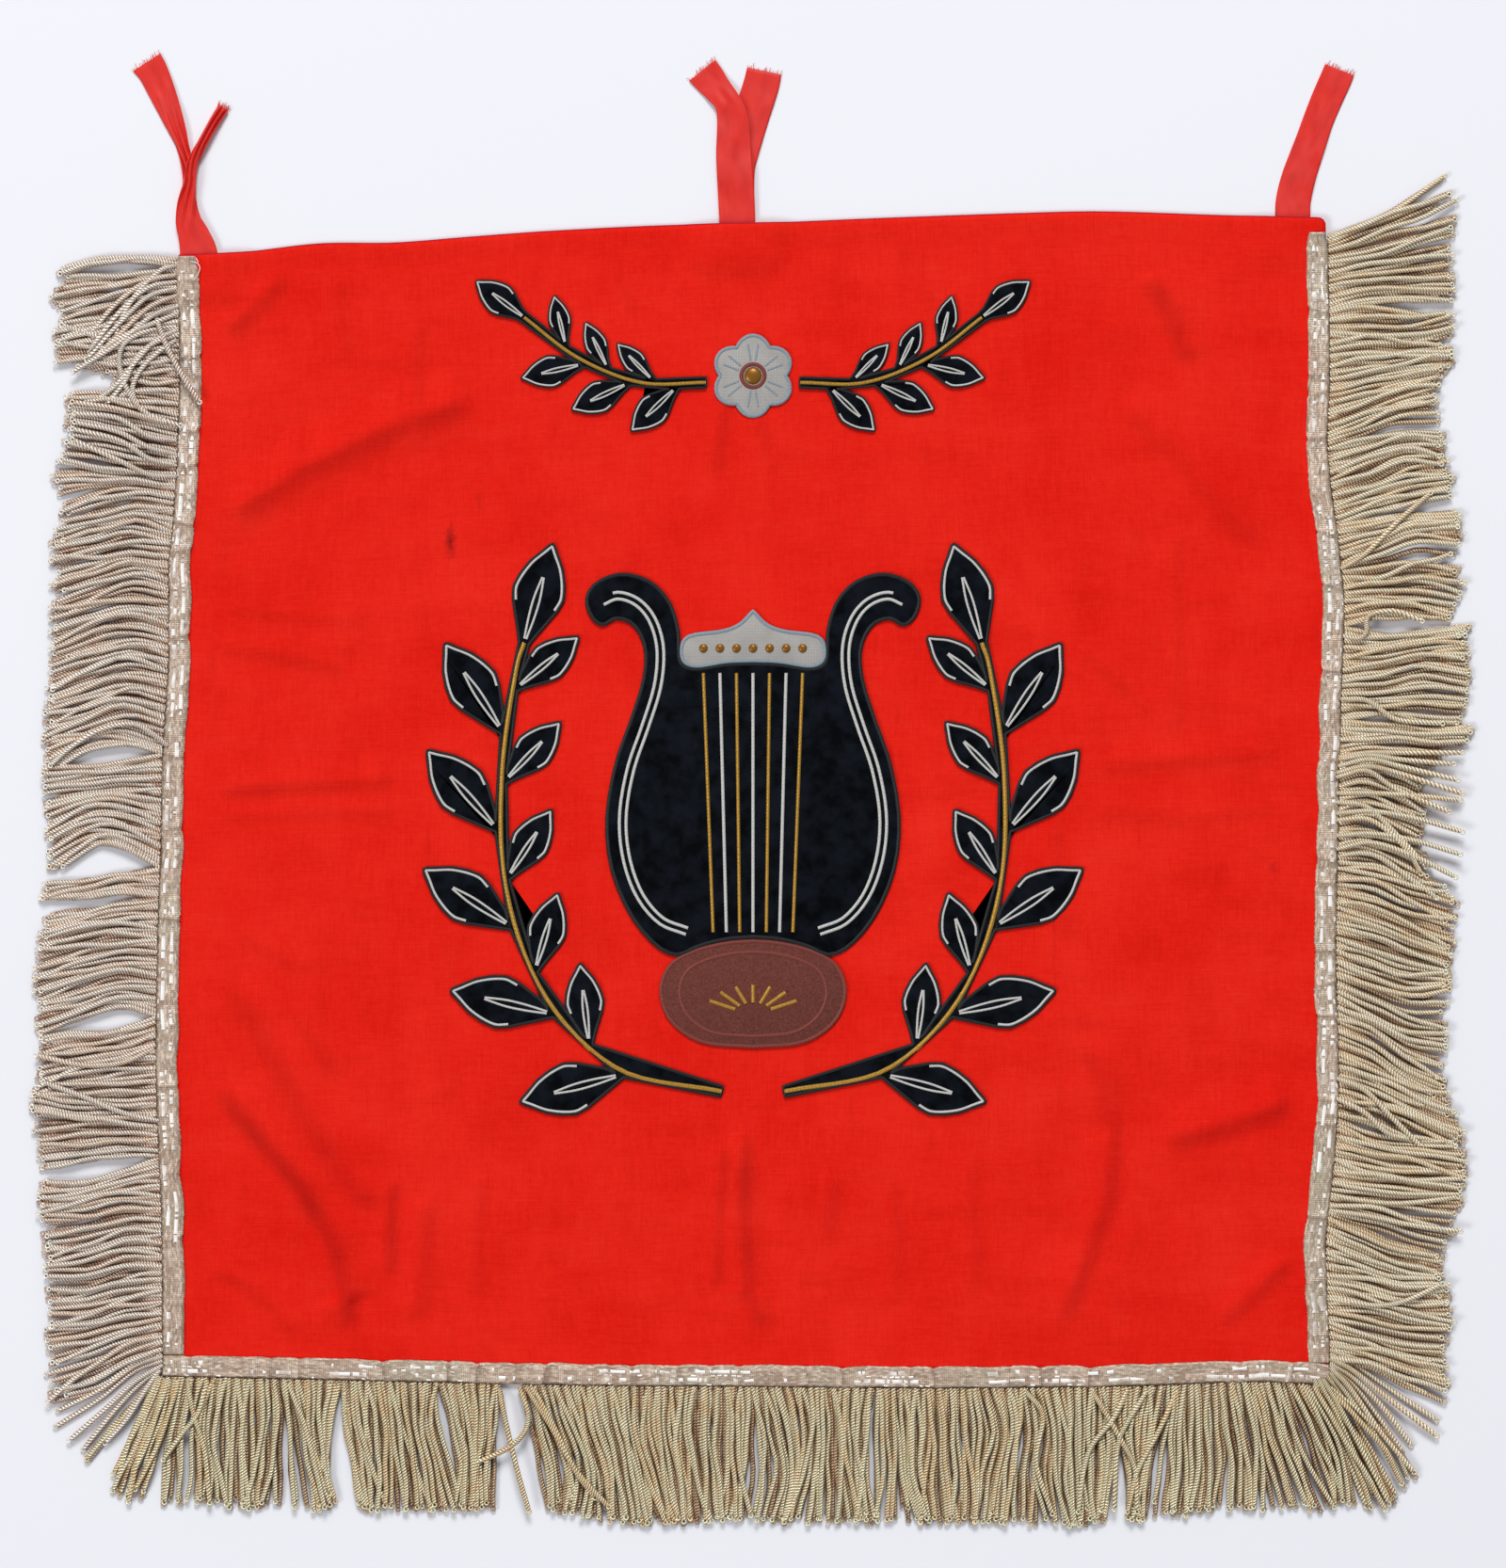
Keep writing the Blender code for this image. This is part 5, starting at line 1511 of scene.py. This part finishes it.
def mirrored(points):
    """The same points on the other side of the middle line."""
    return [Vector((-point.x, point.y)) for point in reversed(points)]


def mirrored_outline(half, steps=26):
    """Smooth outline that is alike on both sides of the banner's middle line."""
    line = smooth_line(half, steps)
    return line + mirrored(line[1:-1])


def flower_outline():
    """Outline of a round flower with blunt petals."""
    outline = []
    for step in range(FLOWER_PETALS * 10):
        turn = math.tau * step / (FLOWER_PETALS * 10)
        reach = FLOWER_RADIUS * (0.80 + 0.20 * abs(math.sin(FLOWER_PETALS * turn / 2)))
        outline.append(FLOWER_CENTRE + way_at(turn) * reach)
    return outline


def make_patch(name, outline, material, slot, node):
    """A cut piece of cloth laid on the field, its rim softly rounded."""
    bm = bmesh.new()
    corners = [bm.verts.new((point.x, point.y, DESIGN_BASE)) for point in outline]
    edges = [bm.edges.new((a, b)) for a, b in zip(corners, corners[1:] + corners[:1])]
    face = bmesh.ops.contextual_create(bm, geom=edges)["faces"][0]
    if face.normal.z < 0:
        face.normal_flip()
    raised = bmesh.ops.extrude_face_region(bm, geom=[face])
    lifted = [item for item in raised["geom"] if isinstance(item, bmesh.types.BMVert)]
    bmesh.ops.translate(bm, vec=(0, 0, DESIGN_THICK), verts=lifted)
    rim = [item for item in raised["geom"] if isinstance(item, bmesh.types.BMEdge)]
    bmesh.ops.bevel(bm, geom=rim, offset=0.3, segments=2, profile=0.5, affect="EDGES", material=-1)
    bmesh.ops.recalc_face_normals(bm, faces=bm.faces)
    bmesh.ops.triangulate(bm, faces=[face for face in bm.faces if len(face.verts) > 4])
    return finish_piece(name, bm, material, slot, node)


def stitched(name, lines, material, slot, node, width=1.7, height=0.5):
    """Lines of satin stitch, each a list of points and whether it closes on itself."""
    bm = bmesh.new()
    for points, closed in lines:
        path = even_line(points, STITCH_STEP, closed)
        lay_strip(bm, path, width, height, DESIGN_TOP - STITCH_SUNK, closed)
    return finish_piece(name, bm, material, slot, node)


def beside(points, distance):
    """A line that runs beside another, to its left."""
    made = []
    for index, point in enumerate(points):
        before, after = points[max(index - 1, 0)], points[min(index + 1, len(points) - 1)]
        made.append(point + left_of((after - before).normalized()) * distance)
    return made


def dots(name, places, radius, height, material, slot, node):
    """Round raised dots of stitching."""
    bm = bmesh.new()
    for place in places:
        made = bmesh.ops.create_uvsphere(bm, u_segments=12, v_segments=6, radius=radius)["verts"]
        bmesh.ops.scale(bm, vec=(1, 1, height / radius), verts=made)
        bmesh.ops.translate(bm, vec=place, verts=made)
    return finish_piece(name, bm, material, slot, node)


def make_leafy(kind, side, table, finishes):
    """A leafy velvet piece with its black edge, its white tips and veins, and its gold stem."""
    turn = mirrored if side == "left" else list
    node = f"{kind}_{side}"
    outline = turn(leafy_outline(*table))
    veins, tips = [], []
    for root, _, grown, length, half, _ in leafy_leaves(*table):
        across = left_of(grown)
        for shift in (-1, 1):
            line = [root + grown * length * part + across * shift * half * out
                    for part, out in ((0.04, 0.04), (0.25, 0.11), (0.45, 0.12), (0.66, 0.03))]
            veins.append((turn(smooth_line(line, 16)), False))
            rim = [root + grown * length * part + across * shift * half * (swell - 0.10)
                   for part, swell in LEAF_SWELL if part > 0.35]
            tips.append((turn(smooth_line(rim, 20) + [root + grown * length * 0.975]), False))
    stem = turn(smooth_line(table[0], 40))
    gauge = 1.0 if kind == "spray" else 0.8
    return [
        make_patch(node + "_velvet", outline, finishes["velvet"], "black_velvet", node),
        stitched(node + "_edge", [(outline, True)], finishes["black"], "black_velvet", node, 1.5 * gauge),
        stitched(node + "_tips", tips, finishes["white"], "grey_cloth", node, 1.3 * gauge),
        stitched(node + "_veins", veins, finishes["white"], "grey_cloth", node, 1.1 * gauge),
        stitched(node + "_stem", [(stem, False)], finishes["gold"], "grey_cloth", node, 2.2 * gauge, 0.7),
    ]


def make_lyre(finishes):
    """The lyre: a velvet body with paired white lines and gold strings, a felt bowl and a grey yoke."""
    body = mirrored_outline(BODY_HALF, 70)
    line = smooth_line(BODY_LINE, 50)
    white, gold, pegs, fan = [], [], [], []
    for turn in (list, mirrored):
        white.append((turn(line), False))
        white.append((turn(beside(line[:-3], LINE_GAP)), False))
    for index in range(STRINGS):
        x = (index - (STRINGS - 1) / 2) * STRING_PITCH
        string = [Vector((x * STRING_LEAN, -61)), Vector((x * STRING_TOP_LEAN, 54.5))]
        (gold if index % 2 == 0 else white).append((string, False))
        pegs.append(Vector((x * STRING_TOP_LEAN, 65.5, DESIGN_TOP)))
    bowl = mirrored_outline(BOWL_HALF)
    ring = [BOWL_MIDDLE + (point - BOWL_MIDDLE) * BOWL_RING for point in bowl]
    for index in range(FAN_RAYS):
        turn = (index - (FAN_RAYS - 1) / 2) * FAN_TURN
        way = Vector((math.sin(turn), math.cos(turn) * FAN_FLAT))
        fan.append(([FAN_ROOT + way * 9, FAN_ROOT + way * 22], False))
    yoke = mirrored_outline(YOKE_HALF)
    return [
        make_patch("lyre_velvet", body, finishes["velvet"], "black_velvet", "lyre_body"),
        stitched("lyre_edge", [(body, True)], finishes["black"], "black_velvet", "lyre_body", 1.8),
        stitched("lyre_white_lines", white, finishes["white"], "grey_cloth", "lyre_body", 1.5, 0.55),
        stitched("lyre_strings", gold, finishes["gold"], "grey_cloth", "lyre_body", 1.6, 0.6),
        make_patch("bowl_felt", bowl, finishes["felt"], "brown_felt", "lyre_bowl"),
        stitched("bowl_edge", [(bowl, True), (ring, True)], finishes["rust"], "brown_felt", "lyre_bowl"),
        stitched("bowl_fan", fan, finishes["gold"], "brown_felt", "lyre_bowl", 1.8, 0.6),
        make_patch("yoke_cloth", yoke, finishes["grey"], "grey_cloth", "lyre_yoke"),
        stitched("yoke_edge", [(yoke, True)], finishes["blue_grey"], "grey_cloth", "lyre_yoke", 1.8),
        dots("yoke_pegs", pegs, 2.0, 0.9, finishes["gold"], "grey_cloth", "lyre_yoke"),
    ]


def make_flower(finishes):
    """The flower of the festoon: grey petals, a rust ring of stitches round its middle and a gold eye."""
    outline = flower_outline()
    petals = []
    for index in range(FLOWER_PETALS):
        turn = math.tau * (index + 0.5) / FLOWER_PETALS
        for spread in (-0.16, 0.16):
            way = way_at(turn + spread)
            petals.append(([FLOWER_CENTRE + way * 7, FLOWER_CENTRE + way * 14], False))
    ring = [FLOWER_CENTRE + way_at(step / 24 * math.tau) * 5.2 for step in range(24)]
    eye = Vector((FLOWER_CENTRE.x, FLOWER_CENTRE.y, DESIGN_TOP))
    node = "festoon_flower"
    return [
        make_patch("flower_cloth", outline, finishes["grey"], "grey_cloth", node),
        stitched("flower_edge", [(outline, True)], finishes["blue_grey"], "grey_cloth", node),
        stitched("flower_lines", petals, finishes["blue_grey"], "grey_cloth", node, 1.0, 0.4),
        stitched("flower_ring", [(ring, True)], finishes["rust"], "brown_felt", node, 2.0, 0.7),
        dots("flower_eye", [eye], 4.0, 1.3, finishes["gold"], "grey_cloth", node),
    ]


def make_design(finishes):
    """The sewn-on design: a lyre between two leafy sprays, under a festoon with a flower."""
    pieces = make_lyre(finishes) + make_flower(finishes)
    for side in ("left", "right"):
        pieces += make_leafy("spray", side, SPRAY, finishes)
        pieces += make_leafy("festoon", side, FESTOON, finishes)
    return pieces


# Floor, light and camera

def make_studio():
    """A pale floor, a large soft light beyond the top edge, a weaker one at the left, and the camera."""
    bm = bmesh.new()
    bmesh.ops.create_grid(bm, x_segments=1, y_segments=1, size=FLOOR_HALF)
    mesh = as_mesh("floor", bm)
    material, _, shader = start_material("floor_white", 0.7, specular_ior_level=0.1)
    shader.inputs["Base Color"].default_value = FLOOR_COLOUR
    mesh.materials.append(material)
    floor = bpy.data.objects.new("floor", mesh)
    bpy.context.scene.collection.objects.link(floor)

    world = bpy.data.worlds.new("surround")
    world.use_nodes = True
    background = world.node_tree.nodes["Background"]
    background.inputs["Color"].default_value = SURROUND_COLOUR
    background.inputs["Strength"].default_value = SURROUND_STRENGTH
    bpy.context.scene.world = world

    for name, place, size, power in LIGHTS:
        light = bpy.data.lights.new(name, "AREA")
        light.size = size
        light.energy = power
        lamp = bpy.data.objects.new(name, light)
        lamp.location = place
        lamp.rotation_euler = (-Vector(place)).to_track_quat("-Z", "Y").to_euler()
        bpy.context.scene.collection.objects.link(lamp)

    camera = bpy.data.cameras.new("camera")
    camera.sensor_width = SENSOR
    camera.lens = SENSOR * CAMERA_DISTANCE / PHOTO_HEIGHT
    eye = bpy.data.objects.new("camera", camera)
    eye.location = (PHOTO_MIDDLE[0] * MM, PHOTO_MIDDLE[1] * MM, CAMERA_DISTANCE * MM)
    bpy.context.scene.collection.objects.link(eye)
    bpy.context.scene.camera = eye
    bpy.context.scene.view_settings.view_transform = "Standard"


def make_banner():
    """The whole banner: its field, its fringes, the sewn-on design and its ties, each in its materials."""
    finishes = {
        "velvet": black_velvet(),
        "felt": brown_felt(),
        "grey": grey_cloth(),
        "white": satin_stitch("white_satin", (0.42, 0.41, 0.38), (0.80, 0.79, 0.76), 0.45),
        "black": satin_stitch("black_satin", (0.001, 0.001, 0.002), (0.012, 0.014, 0.018), 0.55),
        "blue_grey": satin_stitch("blue_grey_satin", (0.16, 0.22, 0.26), (0.34, 0.42, 0.47), 0.5),
        "rust": satin_stitch("rust_satin", (0.12, 0.02, 0.015), (0.30, 0.06, 0.04), 0.5),
        "gold": satin_stitch("gold_satin", (0.26, 0.11, 0.01), (0.72, 0.42, 0.06), 0.35, 0.4),
    }
    field = make_field(red_cloth())
    tape, wire = heading_tape(), flat_wire()
    for name, start, end, rows, seed in FRINGES:
        tones = CORD_TONES[name]
        cord = bullion_cord("bullion_cord_" + name, *tones[:3])
        # The cords that lie under the others take a darker copy of the cord: painted shade
        painted_shade_cord = bullion_cord("painted_shade_bullion_cord_" + name, *tones[3:])
        make_heading(name, start, end, seed, tape, wire)
        make_cords(name, start, end, rows, seed, (painted_shade_cord, cord, cord))
        make_loose_cords(name, cord)
    make_loose_threads(wire)
    make_design(finishes)
    ribbon = red_ribbon()
    for seed, (name, lower, upper, lying) in enumerate(TIES, start=11):
        make_tie(name, lower, upper, lying, ribbon, seed)


make_studio()
make_banner()
